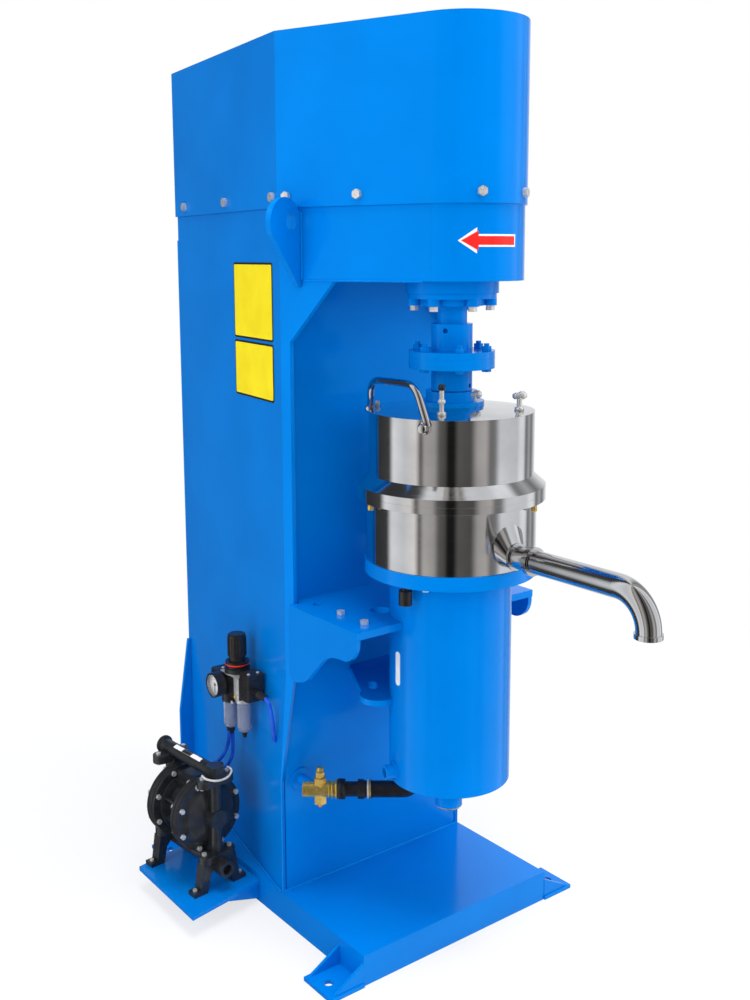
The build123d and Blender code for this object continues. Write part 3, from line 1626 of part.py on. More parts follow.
leg_in = pad_len / 2 - 18
leg_out = pad_len / 2 - 2
pad_under = riser_low - body_gap - pad_t
with BuildPart() as lower_manifold:
    run_start = pump_at(0, -inlet_y + 22, manifold_low_h, (0, 1, 0))
    round_prism(manifold_r, inlet_y - 22 + pump_riser_y + pad_w / 2, run_start)
    inlet_plane = pump_at(0, -inlet_y, manifold_low_h, (0, 1, 0))
    round_prism(inlet_r, 26, inlet_plane)
    for side in (-1, 1):
        pad(pump_at(0, side * pump_riser_y, pad_under), pad_t)
        leg_plane = pump_at(0, side * pump_riser_y - 12, 0, (0, 1, 0))
        for sx in (-1, 1):
            with BuildSketch(leg_plane):
                with BuildLine():
                    Polyline(
                        (sx * leg_in, -pad_under - 1),
                        (sx * leg_out, -pad_under - 1),
                        (sx * (leg_out + 8), -pump_pad_h),
                        (sx * pump_foot_x, -pump_pad_h),
                        (sx * pump_foot_x, 0),
                        (sx * (leg_in + 8), 0),
                        (sx * leg_in, -manifold_low_h + 14),
                        (sx * (manifold_r - 4), -manifold_low_h - 2),
                        (sx * (manifold_r - 4), -pad_under - 1),
                        close=True,
                    )
                make_face()
            extrude(amount=24)
    passage = inlet_y + pump_riser_y
    round_prism(port_passage_r, passage, inlet_plane, Mode.SUBTRACT)
    round_prism(port_thread_r, port_thread_len, inlet_plane, Mode.SUBTRACT)
write(lower_manifold.part, "lower_manifold")

with BuildPart() as pump_bolts:
    for side in (-1, 1):
        outward = (0, side, 0)
        inward = (0, -side, 0)
        for i in range(pump_bolt_n):
            angle = 2 * pi * (i + 0.5) / pump_bolt_n
            x = pump_bolt_pcd / 2 * cos(angle)
            h = pump_axis_h + pump_bolt_pcd / 2 * sin(angle)
            hex_prism(5.5, 6, pump_at(x, side * cap_face, h, outward))
            hex_prism(5.5, 5, pump_at(x, side * (recess_y - 6), h, inward))
        for sx in (-1, 1):
            x = sx * pad_bolt_x
            y = side * pump_riser_y
            hex_prism(5.5, 5, pump_at(x, y, riser_top + body_gap + pad_t))
            hex_prism(5.5, 5, pump_at(x, y, riser_top - pad_t, (0, 0, -1)))
            hex_prism(5.5, 5, pump_at(x, y, riser_low + pad_t))
            hex_prism(5.0, 4, pump_at(sx * (pump_foot_x - 8), y, pump_pad_h))
write(pump_bolts.part, "pump_bolts")
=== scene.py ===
"""Looks of the vertical sand mill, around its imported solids. Metres."""

import json
from math import atan2, cos, pi, radians, sin

import bpy
import bmesh
from mathutils import Matrix, Vector


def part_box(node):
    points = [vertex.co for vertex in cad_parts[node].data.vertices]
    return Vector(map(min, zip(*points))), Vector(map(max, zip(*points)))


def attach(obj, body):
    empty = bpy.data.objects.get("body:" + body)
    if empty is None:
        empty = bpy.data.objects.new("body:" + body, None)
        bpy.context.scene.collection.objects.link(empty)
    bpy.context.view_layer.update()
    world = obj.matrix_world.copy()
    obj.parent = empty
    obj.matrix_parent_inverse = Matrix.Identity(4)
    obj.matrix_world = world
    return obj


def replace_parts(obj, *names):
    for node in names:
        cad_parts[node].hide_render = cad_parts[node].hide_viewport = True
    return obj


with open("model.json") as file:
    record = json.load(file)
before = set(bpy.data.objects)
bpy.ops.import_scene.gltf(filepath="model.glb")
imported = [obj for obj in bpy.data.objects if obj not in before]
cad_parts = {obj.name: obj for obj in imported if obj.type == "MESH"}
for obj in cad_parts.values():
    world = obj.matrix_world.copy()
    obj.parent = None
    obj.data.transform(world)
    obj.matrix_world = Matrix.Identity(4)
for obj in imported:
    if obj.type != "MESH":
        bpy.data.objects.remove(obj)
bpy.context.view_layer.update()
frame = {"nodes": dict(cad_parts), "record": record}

# A run is a distance behind the spindle axis, which stands at this row y
MILL_Y = -0.315
UP = Vector((0.0, 0.0, 1.0))


def row_y(run):
    return MILL_Y + run


def at(x, run, z):
    """Row point from its x, run and height."""
    return Vector((x, row_y(run), z))


# Camera, at the photograph's angle
CAMERA_AT = (-1.413269, -1.911951, 1.345260)
CAMERA_AZIMUTH = 0.65902932
CAMERA_DIP = 0.154344995
CAMERA_ROLL = -0.00301793692
SENSOR = 36.0
FOCAL = 1.14836069
SHIFT = (-0.001919, -0.066004)


def make_camera():
    forward = Vector((sin(CAMERA_AZIMUTH) * cos(CAMERA_DIP),
                      cos(CAMERA_AZIMUTH) * cos(CAMERA_DIP), -sin(CAMERA_DIP)))
    right = Vector((cos(CAMERA_AZIMUTH), -sin(CAMERA_AZIMUTH), 0.0))
    up = right.cross(forward)
    right_rolled = cos(CAMERA_ROLL) * right + sin(CAMERA_ROLL) * up
    up_rolled = -sin(CAMERA_ROLL) * right + cos(CAMERA_ROLL) * up
    data = bpy.data.cameras.new("photo_camera")
    data.sensor_width = SENSOR
    data.sensor_height = SENSOR
    data.sensor_fit = "AUTO"
    data.lens = FOCAL * SENSOR
    data.shift_x, data.shift_y = SHIFT
    data.clip_end = 100.0
    camera = bpy.data.objects.new("photo_camera", data)
    bpy.context.scene.collection.objects.link(camera)
    matrix = Matrix((right_rolled, up_rolled, -forward)).transposed().to_4x4()
    matrix.translation = Vector(CAMERA_AT)
    camera.matrix_world = matrix
    bpy.context.scene.camera = camera


# Materials
def new_material(name):
    mat = bpy.data.materials.new(name)
    mat.use_nodes = True
    tree = mat.node_tree
    tree.nodes.clear()
    out = tree.nodes.new("ShaderNodeOutputMaterial")
    shader = tree.nodes.new("ShaderNodeBsdfPrincipled")
    tree.links.new(shader.outputs[0], out.inputs[0])
    return mat, tree, shader


def noise(tree, scale, detail=3.0, stretch=(1, 1, 1)):
    """Noise over the row's own coordinates."""
    coord = tree.nodes.new("ShaderNodeTexCoord")
    mapping = tree.nodes.new("ShaderNodeMapping")
    mapping.inputs["Scale"].default_value = stretch
    node = tree.nodes.new("ShaderNodeTexNoise")
    node.inputs["Scale"].default_value = scale
    node.inputs["Detail"].default_value = detail
    tree.links.new(coord.outputs["Object"], mapping.inputs["Vector"])
    tree.links.new(mapping.outputs["Vector"], node.inputs["Vector"])
    return node


def spread(tree, source, low, high):
    """Noise, which keeps to 0.3 to 0.7, mapped to low to high."""
    node = tree.nodes.new("ShaderNodeMapRange")
    node.inputs["From Min"].default_value = 0.3
    node.inputs["From Max"].default_value = 0.7
    node.inputs["To Min"].default_value = low
    node.inputs["To Max"].default_value = high
    tree.links.new(source, node.inputs["Value"])
    return node.outputs["Result"]


def tint(tree, source, dark, light):
    """A mix of two colours by noise."""
    mix = tree.nodes.new("ShaderNodeMix")
    mix.data_type = "RGBA"
    mix.inputs["A"].default_value = (*dark, 1)
    mix.inputs["B"].default_value = (*light, 1)
    tree.links.new(spread(tree, source, 0.0, 1.0), mix.inputs["Factor"])
    return mix.outputs["Result"]


def relieve(tree, shader, source, relief, edge):
    """Fine relief on the shader, with soft edges of a radius where edge isn't nought."""
    bump = tree.nodes.new("ShaderNodeBump")
    bump.inputs["Strength"].default_value = 1.0
    bump.inputs["Distance"].default_value = relief
    tree.links.new(source, bump.inputs["Height"])
    if edge:
        bevel = tree.nodes.new("ShaderNodeBevel")
        bevel.samples = 4
        bevel.inputs["Radius"].default_value = edge
        tree.links.new(bevel.outputs[0], bump.inputs["Normal"])
    tree.links.new(bump.outputs[0], shader.inputs["Normal"])


def finish(
    name, dark, light, metallic=0.0, rough=(0.2, 0.3), patch=9.0, grain=700.0,
    relief=0.00002, stretch=(1, 1, 1), edge=0.0012, coat=0.0, specular=0.5,
    glint=(1.0, 1.0, 1.0), alpha=1.0,
):
    """A painted, plated or moulded surface: patches, fine relief and soft edges."""
    mat, tree, shader = new_material(name)
    shader.inputs["Metallic"].default_value = metallic
    shader.inputs["Coat Weight"].default_value = coat
    shader.inputs["Coat Roughness"].default_value = 0.06
    shader.inputs["Specular IOR Level"].default_value = specular
    shader.inputs["Specular Tint"].default_value = (*glint, 1)
    shader.inputs["Alpha"].default_value = alpha
    cloud = noise(tree, patch)
    fine = noise(tree, grain, 2.0, stretch)
    tree.links.new(tint(tree, cloud.outputs[0], dark, light), shader.inputs["Base Color"])
    tree.links.new(spread(tree, fine.outputs[0], *rough), shader.inputs["Roughness"])
    relieve(tree, shader, fine.outputs[0], relief, edge)
    return mat


# Stretch of the noise that gives turned metal its fine rings
TURNED = (1, 1, 260)
blue = finish("blue_enamel", (0.0, 0.176, 0.62), (0.0, 0.200, 0.69), rough=(0.13, 0.19),
              patch=5.0, grain=160.0, relief=0.000008, specular=0.6, glint=(0.0, 0.45, 1.0))
steel = finish("polished_stainless", (0.60, 0.60, 0.61), (0.72, 0.72, 0.73), 1.0, (0.07, 0.13),
               patch=14.0, grain=4.0, relief=0.000004, stretch=TURNED, edge=0.0008)
polished = finish("polished_bar", (0.62, 0.61, 0.60), (0.74, 0.73, 0.72), 1.0, (0.05, 0.10),
                  patch=20.0, grain=300.0, relief=0.000003, edge=0.0)
bright = finish("turned_steel", (0.45, 0.45, 0.46), (0.62, 0.62, 0.63), 1.0, (0.18, 0.30),
                patch=30.0, grain=6.0, relief=0.00001, stretch=TURNED)
zinc = finish("zinc_plate", (0.66, 0.65, 0.62), (0.86, 0.85, 0.82), 0.65, (0.22, 0.36),
              patch=160.0, grain=1500.0, relief=0.00003, edge=0.0008)
grey = finish("machined_steel", (0.22, 0.22, 0.23), (0.36, 0.36, 0.37), 1.0, (0.28, 0.42),
              patch=40.0, grain=900.0)
cast = finish("grey_casting", (0.05, 0.052, 0.056), (0.10, 0.10, 0.105), 0.5, (0.5, 0.7),
              patch=50.0, grain=1100.0, relief=0.00012)
motor = finish("motor_enamel", (0.03, 0.05, 0.09), (0.045, 0.07, 0.12), 0.0, (0.35, 0.5),
               patch=25.0, grain=900.0, relief=0.00005)
rubber = finish("belt_rubber", (0.008, 0.008, 0.008), (0.02, 0.02, 0.02), 0.0, (0.55, 0.75),
                patch=80.0, grain=1800.0, relief=0.00008)
hose = finish("hose_rubber", (0.006, 0.006, 0.007), (0.014, 0.014, 0.015), 0.0, (0.30, 0.45),
              patch=60.0, grain=1600.0, relief=0.00005)
brass = finish("brass", (0.70, 0.47, 0.10), (0.92, 0.66, 0.20), 0.8, (0.18, 0.30),
               patch=90.0, grain=1200.0, relief=0.00003, edge=0.001)
black = finish("black_moulding", (0.008, 0.008, 0.009), (0.016, 0.016, 0.018), 0.0,
               (0.22, 0.36), patch=70.0, grain=1500.0, relief=0.00003, edge=0.001)
pump_black = finish("black_casting", (0.010, 0.011, 0.013), (0.022, 0.024, 0.028), 0.0,
                    (0.26, 0.42), patch=60.0, grain=900.0, relief=0.0001, edge=0.002,
                    coat=0.25)
red = finish("red_ring", (0.62, 0.006, 0.006), (0.82, 0.015, 0.01), 0.0, (0.25, 0.35),
             patch=120.0, grain=1500.0)
tube_blue = finish("blue_tube", (0.002, 0.05, 0.45), (0.004, 0.10, 0.72), 0.0, (0.18, 0.28),
                   patch=60.0, grain=1500.0, coat=0.3)
alloy = finish("die_cast_alloy", (0.42, 0.43, 0.45), (0.60, 0.61, 0.63), 0.9, (0.25, 0.4),
               patch=60.0, grain=1400.0, relief=0.00004)
needle = finish("needle_paint", (0.01, 0.01, 0.01), (0.03, 0.03, 0.03), 0.0, (0.4, 0.5),
                edge=0.0)
yellow = finish("yellow_plate", (0.88, 0.70, 0.0), (0.96, 0.79, 0.005), 0.0, (0.30, 0.42),
                patch=18.0, grain=1300.0, relief=0.00001, edge=0.0)
border = finish("border_black", (0.01, 0.01, 0.01), (0.02, 0.02, 0.02), 0.0, (0.3, 0.42),
                edge=0.0)
arrow_red = finish("arrow_red", (0.78, 0.006, 0.004), (0.88, 0.012, 0.008), 0.0, (0.25, 0.35),
                   patch=40.0, grain=1500.0, relief=0.00001, edge=0.0)
white = finish("white_film", (0.80, 0.80, 0.80), (0.90, 0.90, 0.90), 0.0, (0.30, 0.42),
               patch=40.0, grain=1500.0, relief=0.00001, edge=0.0)
strap_grey = finish("strap_grey", (0.42, 0.42, 0.40), (0.60, 0.60, 0.58), 0.0, (0.4, 0.55),
                    patch=90.0, grain=1500.0)
orange = finish("orange_tip", (0.75, 0.16, 0.01), (0.9, 0.24, 0.02), 0.0, (0.3, 0.4))
lens = finish("gauge_lens", (0.90, 0.93, 0.96), (0.95, 0.97, 1.0), 0.0, (0.02, 0.05),
              patch=60.0, grain=900.0, relief=0.000001, edge=0.0, alpha=0.10)


def bowl_material():
    """Smoky clear plastic of the filter bowls."""
    mat, tree, shader = new_material("clear_bowl")
    shader.inputs["Transmission Weight"].default_value = 0.75
    shader.inputs["IOR"].default_value = 1.2
    cloud = noise(tree, 60.0).outputs[0]
    colour = tint(tree, cloud, (0.495, 0.54, 0.648), (0.55, 0.60, 0.72))
    tree.links.new(colour, shader.inputs["Base Color"])
    tree.links.new(spread(tree, cloud, 0.10, 0.15), shader.inputs["Roughness"])
    return mat


# Where the air set's metal is bare: runs and heights of its strip, bowl collar and rim
BARE_METAL = (
    ((0.3695, 0.385), (0.30, 0.4815)),
    ((0.30, 0.402), (0.30, 0.4335)),
    ((0.371, 0.440), (0.4800, 0.4850)),
)


def in_band(tree, value, low, high):
    """One where a value lies between low and high, else nought."""
    node = tree.nodes.new("ShaderNodeMath")
    node.operation = "COMPARE"
    node.inputs[1].default_value = (low + high) / 2
    node.inputs[2].default_value = (high - low) / 2
    tree.links.new(value, node.inputs[0])
    return node.outputs[0]


def combine(tree, operation, a, b):
    node = tree.nodes.new("ShaderNodeMath")
    node.operation = operation
    tree.links.new(a, node.inputs[0])
    tree.links.new(b, node.inputs[1])
    return node.outputs[0]


def air_set_material():
    """Black modules with bare metal in the bands above."""
    mat, tree, shader = new_material("air_set_modules")
    coord = tree.nodes.new("ShaderNodeTexCoord")
    split = tree.nodes.new("ShaderNodeSeparateXYZ")
    tree.links.new(coord.outputs["Object"], split.inputs[0])
    patches = []
    for (near, far), (low, high) in BARE_METAL:
        across = in_band(tree, split.outputs["Y"], row_y(near), row_y(far))
        upright = in_band(tree, split.outputs["Z"], low, high)
        patches.append(combine(tree, "MULTIPLY", across, upright))
    bare = patches[0]
    for patch in patches[1:]:
        bare = combine(tree, "MAXIMUM", bare, patch)
    cloud = noise(tree, 60.0).outputs[0]
    fine = noise(tree, 1400.0, 2.0).outputs[0]
    mix = tree.nodes.new("ShaderNodeMix")
    mix.data_type = "RGBA"
    tree.links.new(bare, mix.inputs["Factor"])
    tree.links.new(tint(tree, cloud, (0.010, 0.010, 0.011), (0.02, 0.02, 0.022)),
                   mix.inputs["A"])
    tree.links.new(tint(tree, cloud, (0.50, 0.51, 0.53), (0.70, 0.71, 0.73)), mix.inputs["B"])
    tree.links.new(mix.outputs["Result"], shader.inputs["Base Color"])
    metal = tree.nodes.new("ShaderNodeMath")
    metal.operation = "MULTIPLY"
    metal.inputs[1].default_value = 0.6
    tree.links.new(bare, metal.inputs[0])
    tree.links.new(metal.outputs[0], shader.inputs["Metallic"])
    tree.links.new(spread(tree, fine, 0.22, 0.36), shader.inputs["Roughness"])
    relieve(tree, shader, fine, 0.00004, 0.0015)
    return mat


BY_SLOT = {
    "blue_paint": blue, "blue_cover": blue, "stainless": steel, "bright_steel": bright,
    "zinc": zinc, "steel_grey": grey, "cast_grey": cast, "motor_paint": motor,
    "belt_rubber": rubber, "brass": brass, "black_plastic": black, "black_fitting": black,
    "hose_rubber": hose, "red_plastic": red, "tube_blue": tube_blue,
    "bowl_plastic": bowl_material(), "pump_black": pump_black,
    "air_metal": air_set_material(), "bearing_steel": bright, "needle_red": needle,
}


def dress_solids():
    """Materials of the solids by their slots, with the lock ring black under its red line."""
    for part in frame["record"]["subparts"]:
        node = frame["nodes"][part["node"]]
        node.data.materials.clear()
        node.data.materials.append(BY_SLOT[part["material_slot"]])
    frame["nodes"]["lock_ring"].data.materials[0] = black


# Mesh helpers
def add_piece(name, mesh, mat, body="frame", smooth=True):
    piece = bpy.data.objects.new(name, mesh)
    bpy.context.scene.collection.objects.link(piece)
    mesh.materials.append(mat)
    for face in mesh.polygons:
        face.use_smooth = smooth
    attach(piece, body)
    return piece


def mesh_of(name, verts, faces):
    mesh = bpy.data.meshes.new(name)
    mesh.from_pydata(verts, [], faces)
    mesh.validate()
    tool = bmesh.new()
    tool.from_mesh(mesh)
    bmesh.ops.recalc_face_normals(tool, faces=tool.faces)
    tool.to_mesh(mesh)
    tool.free()
    return mesh


def frame_at(origin, x_dir, z_dir):
    """Placing function for a plane in space: place(a, b, height)."""
    z_dir = Vector(z_dir).normalized()
    x_dir = Vector(x_dir).normalized()
    y_dir = z_dir.cross(x_dir)
    origin = Vector(origin)
    return lambda a, b, h: origin + a * x_dir + b * y_dir + h * z_dir


def up_place(x, run, z):
    """Placing function for a form that stands upright."""
    return frame_at(at(x, run, z), (1, 0, 0), UP)


def rounded_box_outline(w, h, r, steps=6):
    """Corner-rounded rectangle about its centre."""
    points = []
    for sx, sy, start in ((1, 1, 0), (-1, 1, 90), (-1, -1, 180), (1, -1, 270)):
        for i in range(steps + 1):
            a = radians(start + 90 * i / steps)
            points.append((sx * (w / 2 - r) + r * cos(a), sy * (h / 2 - r) + r * sin(a)))
    return points


def plate(name, outline, cover, place, thickness, mat):
    """Thin plate on an outline, both its faces divided into the polygons of cover."""
    n = len(outline)
    verts = [place(a, b, h) for h in (0.0, thickness) for a, b in outline]
    faces = cover + [[n + k for k in face] for face in cover]
    faces += [[i, (i + 1) % n, n + (i + 1) % n, n + i] for i in range(n)]
    return add_piece(name, mesh_of(name, verts, faces), mat, smooth=False)


def slab(name, outline, place, thickness, mat):
    """Thin flat plate."""
    return plate(name, outline, [list(range(len(outline)))], place, thickness, mat)


def lathe(name, profile, place, mat, body="frame", turns=48):
    """Turned form: profile of (radius, height), put in space by place(a, b, height)."""
    verts, faces = [], []
    for i in range(turns):
        a = 2 * pi * i / turns
        verts += [place(r * cos(a), r * sin(a), h) for r, h in profile]
    n = len(profile)
    for i in range(turns):
        j = (i + 1) % turns
        for k in range(n - 1):
            faces.append([i * n + k, j * n + k, j * n + k + 1, i * n + k + 1])
    return add_piece(name, mesh_of(name, verts, faces), mat, body)


def disc(r, h):
    """Profile of a plain disc."""
    return [(0.0, 0.0), (r, 0.0), (r, h), (0.0, h)]


def hex_head(r, h):
    """Profile of a bolt head with a chamfered top."""
    return [(0.0, 0.0), (r, 0.0), (r, 0.8 * h), (0.86 * r, h), (0.0, h)]


def thread(r, h, pitch=0.0016):
    """Profile of a threaded rod."""
    line = [(0.0, 0.0)]
    for i in range(int(h / pitch)):
        line += [(0.86 * r, i * pitch), (r, (i + 0.5) * pitch)]
    return line + [(0.8 * r, h), (0.0, h)]


def skin(rings):
    """Vertices and faces through rings of as many points each, closed at both ends."""
    n = len(rings[0])
    verts = [point for ring in rings for point in ring]
    faces = []
    for i in range(len(rings) - 1):
        for k in range(n):
            m = (k + 1) % n
            faces.append([i * n + k, i * n + m, (i + 1) * n + m, (i + 1) * n + k])
    faces.append(list(range(n)))
    faces.append([(len(rings) - 1) * n + k for k in range(n)])
    return verts, faces


def ring_of(centre, across, other, r, n):
    """Points of a circle in the plane of two directions."""
    turns = [2 * pi * k / n for k in range(n)]
    return [centre + r * (cos(a) * across + sin(a) * other) for a in turns]


def rounded_path(points, radius, steps=8):
    """Points with each corner rounded by a curve that starts a radius before it."""
    points = [Vector(p) for p in points]
    path = [points[0]]
    for before, corner, after in zip(points, points[1:], points[2:]):
        back = (before - corner).normalized() * min(radius, (before - corner).length / 2)
        ahead = (after - corner).normalized() * min(radius, (after - corner).length / 2)
        for i in range(steps + 1):
            t = i / steps
            path.append(corner + (1 - t) ** 2 * back + t**2 * ahead)
    return path + [points[-1]]


def spline(points, steps=10):
    """Smooth curve through the points."""
    ends = [2 * points[0] - points[1]] + points + [2 * points[-1] - points[-2]]
    path = []
    for a, b, c, d in zip(ends, ends[1:], ends[2:], ends[3:]):
        for i in range(steps):
            t = i / steps
            path.append(0.5 * (2 * b + (c - a) * t + (2 * a - 5 * b + 4 * c - d) * t**2
                               + (3 * b - a - 3 * c + d) * t**3))
    return path + [points[-1]]


def tube(name, path, radius, mat, sides=14):
    """Round bar along a path, its ends closed by low domes."""
    side = (path[1] - path[0]).orthogonal().normalized()
    stations = []
    for i, point in enumerate(path):
        ahead = path[min(i + 1, len(path) - 1)] - path[max(i - 1, 0)]
        ahead.normalize()
        side = (side - ahead * side.dot(ahead)).normalized()
        stations.append((point, side.copy(), ahead, radius))
    ends = []
    for (point, across, ahead, r), way in ((stations[0], -1), (stations[-1], 1)):
        ends.append((point + way * 0.3 * r * ahead, across, ahead, 0.7 * r))
    rows = [ends[0], *stations, ends[1]]
    rings = [ring_of(p, across, ahead.cross(across), r, sides) for p, across, ahead, r in rows]
    return add_piece(name, mesh_of(name, *skin(rings)), mat)


def bead(name, start, end, radius, side):
    """Fillet weld with ripples, from start to end, bulging along side."""
    along = (end - start).normalized()
    other = along.cross(side)
    length = (end - start).length
    steps = max(8, int(length / 0.004))
    rings = []
    for i in range(steps + 1):
        ripple = 1.0 + 0.16 * sin(2.1 * i) + 0.08 * sin(0.37 * i + 1.0)
        middle = start + along * (length * i / steps)
        rings.append(ring_of(middle, side, other, radius * ripple, 7))
    return add_piece(name, mesh_of(name, *skin(rings)), blue)


# Yellow plates, on the left side plate between its front and rear corners
SIDE_FRONT = (-0.221, 0.240)
SIDE_REAR = (-0.1335, 0.799)
PLATE_RUN = 0.370
PLATE_WIDTH = 0.196
PLATE_BORDER = 0.004
PLATE_CORNER = 0.006
PLATE_HEIGHTS = (("plate_upper", 1.180, 1.332), ("plate_lower", 1.062, 1.175))


def make_yellow_plates():
    """Two bare plates with black borders."""
    front, rear = (at(x, run, 0.0) for x, run in (SIDE_FRONT, SIDE_REAR))
    along = (rear - front).normalized()
    out = Vector((-along.y, along.x, 0.0))
    share = (PLATE_RUN - SIDE_FRONT[1]) / (SIDE_REAR[1] - SIDE_FRONT[1])
    for name, low_z, high_z in PLATE_HEIGHTS:
        middle = front + share * (rear - front)
        middle.z = (low_z + high_z) / 2
        place = frame_at(middle, -along, out)
        height = high_z - low_z
        edge_line = rounded_box_outline(PLATE_WIDTH, height, PLATE_CORNER)
        slab(name + "_border", edge_line, place, 0.0006, border)
        face_line = rounded_box_outline(PLATE_WIDTH - 2 * PLATE_BORDER,
                                        height - 2 * PLATE_BORDER, PLATE_BORDER)
        slab(name + "_face", face_line, place, 0.0010, yellow)


# Direction arrow on the nose
NOSE_R = 0.114
NOSE_RUN = -0.024
ARROW_TURN = radians(-105.5)
ARROW_Z = 1.370
ARROW_HALF = 0.0532
ARROW_HEAD = 0.030
ARROW_HEAD_HALF = 0.017
ARROW_SHAFT_HALF = 0.0075
ARROW_SHAFT_PARTS = 8


def nose_place(a, b, h):
    """Point on the nose: a is the distance round it from the arrow's middle."""
    angle = ARROW_TURN + a / NOSE_R
    r = NOSE_R + 0.0001 + h
    return at(r * cos(angle), NOSE_RUN + r * sin(angle), ARROW_Z + b)


def arrow_plate(name, grow, height, mat):
    """Arrow that points left, grown by a border, its shaft divided to follow the curve."""
    half, shaft = ARROW_HALF + grow, ARROW_SHAFT_HALF + grow
    wide = ARROW_HEAD_HALF + 1.6 * grow
    tip = -half - 0.8 * grow
    neck = tip + ARROW_HEAD + grow
    lower = [(tip, 0.0), ((tip + neck) / 2, -wide / 2), (neck, -wide), (neck, -shaft)]
    for i in range(1, ARROW_SHAFT_PARTS + 1):
        lower.append((neck + (half - neck) * i / ARROW_SHAFT_PARTS, -shaft))
    line = lower + [(a, -b) for a, b in reversed(lower[1:])]
    n = len(line)
    cover = [[i, i + 1, n - i - 1, n - i] for i in range(1, n // 2)] + [[0, 1, n - 1]]
    plate(name, line, cover, nose_place, height, mat)


def make_arrow():
    arrow_plate("arrow_outline", 0.0032, 0.0004, white)
    arrow_plate("arrow_face", 0.0, 0.0009, arrow_red)


# Bright strip let into the jacket, and the weld beads on the plates
STRIP_R = 0.1172
STRIP_TURN = radians(-187.1)
STRIP_Z = 0.5765
BEADS = (
    ("bead_front", (-0.236, 0.239, 0.0625), (0.236, 0.239, 0.0625), 0.0035),
    ("bead_left", (-0.2395, 0.243, 0.0625), (-0.136, 0.797, 0.0625), 0.003),
    ("bead_arm", (-0.202, 0.190, 1.2995), (-0.112, -0.050, 1.2995), 0.002),
)


def make_strip_and_beads():
    out = Vector((cos(STRIP_TURN), sin(STRIP_TURN), 0.0))
    place = frame_at(at(STRIP_R * out.x, STRIP_R * out.y, STRIP_Z), UP.cross(out), out)
    outline = rounded_box_outline(0.014, 0.066, 0.0065)
    slab("jacket_strip", outline, place, 0.0012, white)
    for name, start, end, r in BEADS:
        bead(name, at(*start), at(*end), r, UP)


# Gauge dial, its ticks and its lens, at depths behind the case's front
DIAL_DEPTH = 0.0082
TICK_DEPTH = 0.0077
LENS_DEPTH = 0.0015
DIAL_R = 0.0226
TICK_R = 0.0195
TICK_HALF = 0.00035
TICK_STEPS = 20
LENS = [(0.0, 0.0), (0.0228, 0.0), (0.0228, 0.0010), (0.015, 0.0016), (0.0, 0.0019)]


def make_gauge():
    low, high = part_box("gauge_case")
    middle_y, middle_z = (low[1] + high[1]) / 2, (low[2] + high[2]) / 2

    def behind(depth):
        return frame_at((low[0] + depth, middle_y, middle_z), (0, -1, 0), (-1, 0, 0))

    dial = [(0.0, 0.0005), (DIAL_R, 0.0005), (DIAL_R, 0.0)]
    lathe("gauge_dial", dial, behind(DIAL_DEPTH), white)
    for i in range(TICK_STEPS + 1):
        a = radians(-135 + 270 * i / TICK_STEPS)
        inner = TICK_R - (0.0045 if i % 5 == 0 else 0.0025)
        corners = ((inner, -TICK_HALF), (TICK_R, -TICK_HALF), (TICK_R, TICK_HALF),
                   (inner, TICK_HALF))
        line = [(r * sin(a) + s * cos(a), r * cos(a) - s * sin(a)) for r, s in corners]
        slab("dial_tick_%02d" % i, line, behind(TICK_DEPTH), 0.0002, border)
    lathe("gauge_lens", LENS, behind(LENS_DEPTH), lens)


# Handle of the hood, thicker and with wider bends than its rigid solid
HANDLE_POINTS = ((-0.101, 0.118, 1.054), (-0.124, 0.084, 1.1185), (-0.135, -0.056, 1.121),
                 (-0.132, -0.087, 1.050))
HANDLE_BEND = 0.028
HANDLE_R = 0.0066
FOOT_OUT = Vector((-0.1329, -0.0797, 0.0)).normalized()
FOOT_R = 0.1552
FOOT_Z = 1.047
FOOT = [(0.0, 0.0), (0.0085, 0.0), (0.0085, 0.0115), (0.0078, 0.0125), (0.0078, 0.0165),
        (0.0066, 0.0176), (0.0, 0.0180)]
FOOT_WASHER = [(0.0, 0.0), (0.0125, 0.0), (0.0120, 0.0022), (0.0, 0.0025)]
REAR_FOOT = [(0.0, -0.004), (0.0105, -0.004), (0.0105, 0.004), (0.0, 0.006)]


def make_handle():
    path = rounded_path([at(*p) for p in HANDLE_POINTS], HANDLE_BEND)
    handle = tube("handle_bar", path, HANDLE_R, polished)
    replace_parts(handle, "hood_handle")
    place = frame_at(at(FOOT_R * FOOT_OUT.x, FOOT_R * FOOT_OUT.y, FOOT_Z), UP, FOOT_OUT)
    lathe("handle_foot", FOOT, place, polished, turns=28)
    lathe("handle_foot_washer", FOOT_WASHER, place, polished, turns=28)
    rear_place = up_place(-0.101, 0.118, 1.0585)
    lathe("handle_rear_foot", REAR_FOOT, rear_place, polished, turns=28)
    screw_place = up_place(-0.088, 0.112, 1.060)
    lathe("handle_rear_screw", hex_head(0.0045, 0.013), screw_place, zinc, turns=6)


# Screws under the drum's ring
RING_SCREW_R = 0.1710
RING_SCREW_TURNS = (-70, 50, 170)


def make_ring_screws():
    ring_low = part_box("hood_screws")[0][2]
    for i, turn in enumerate(RING_SCREW_TURNS):
        x, run = RING_SCREW_R * cos(radians(turn)), RING_SCREW_R * sin(radians(turn))
        place = frame_at(at(x, run, ring_low + 0.0100), (1, 0, 0), -UP)
        screw = lathe("ring_screw_%d" % i, hex_head(0.0062, 0.0105), place, brass,
                      turns=6)
        if i == 0:
            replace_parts(screw, "hood_screws")


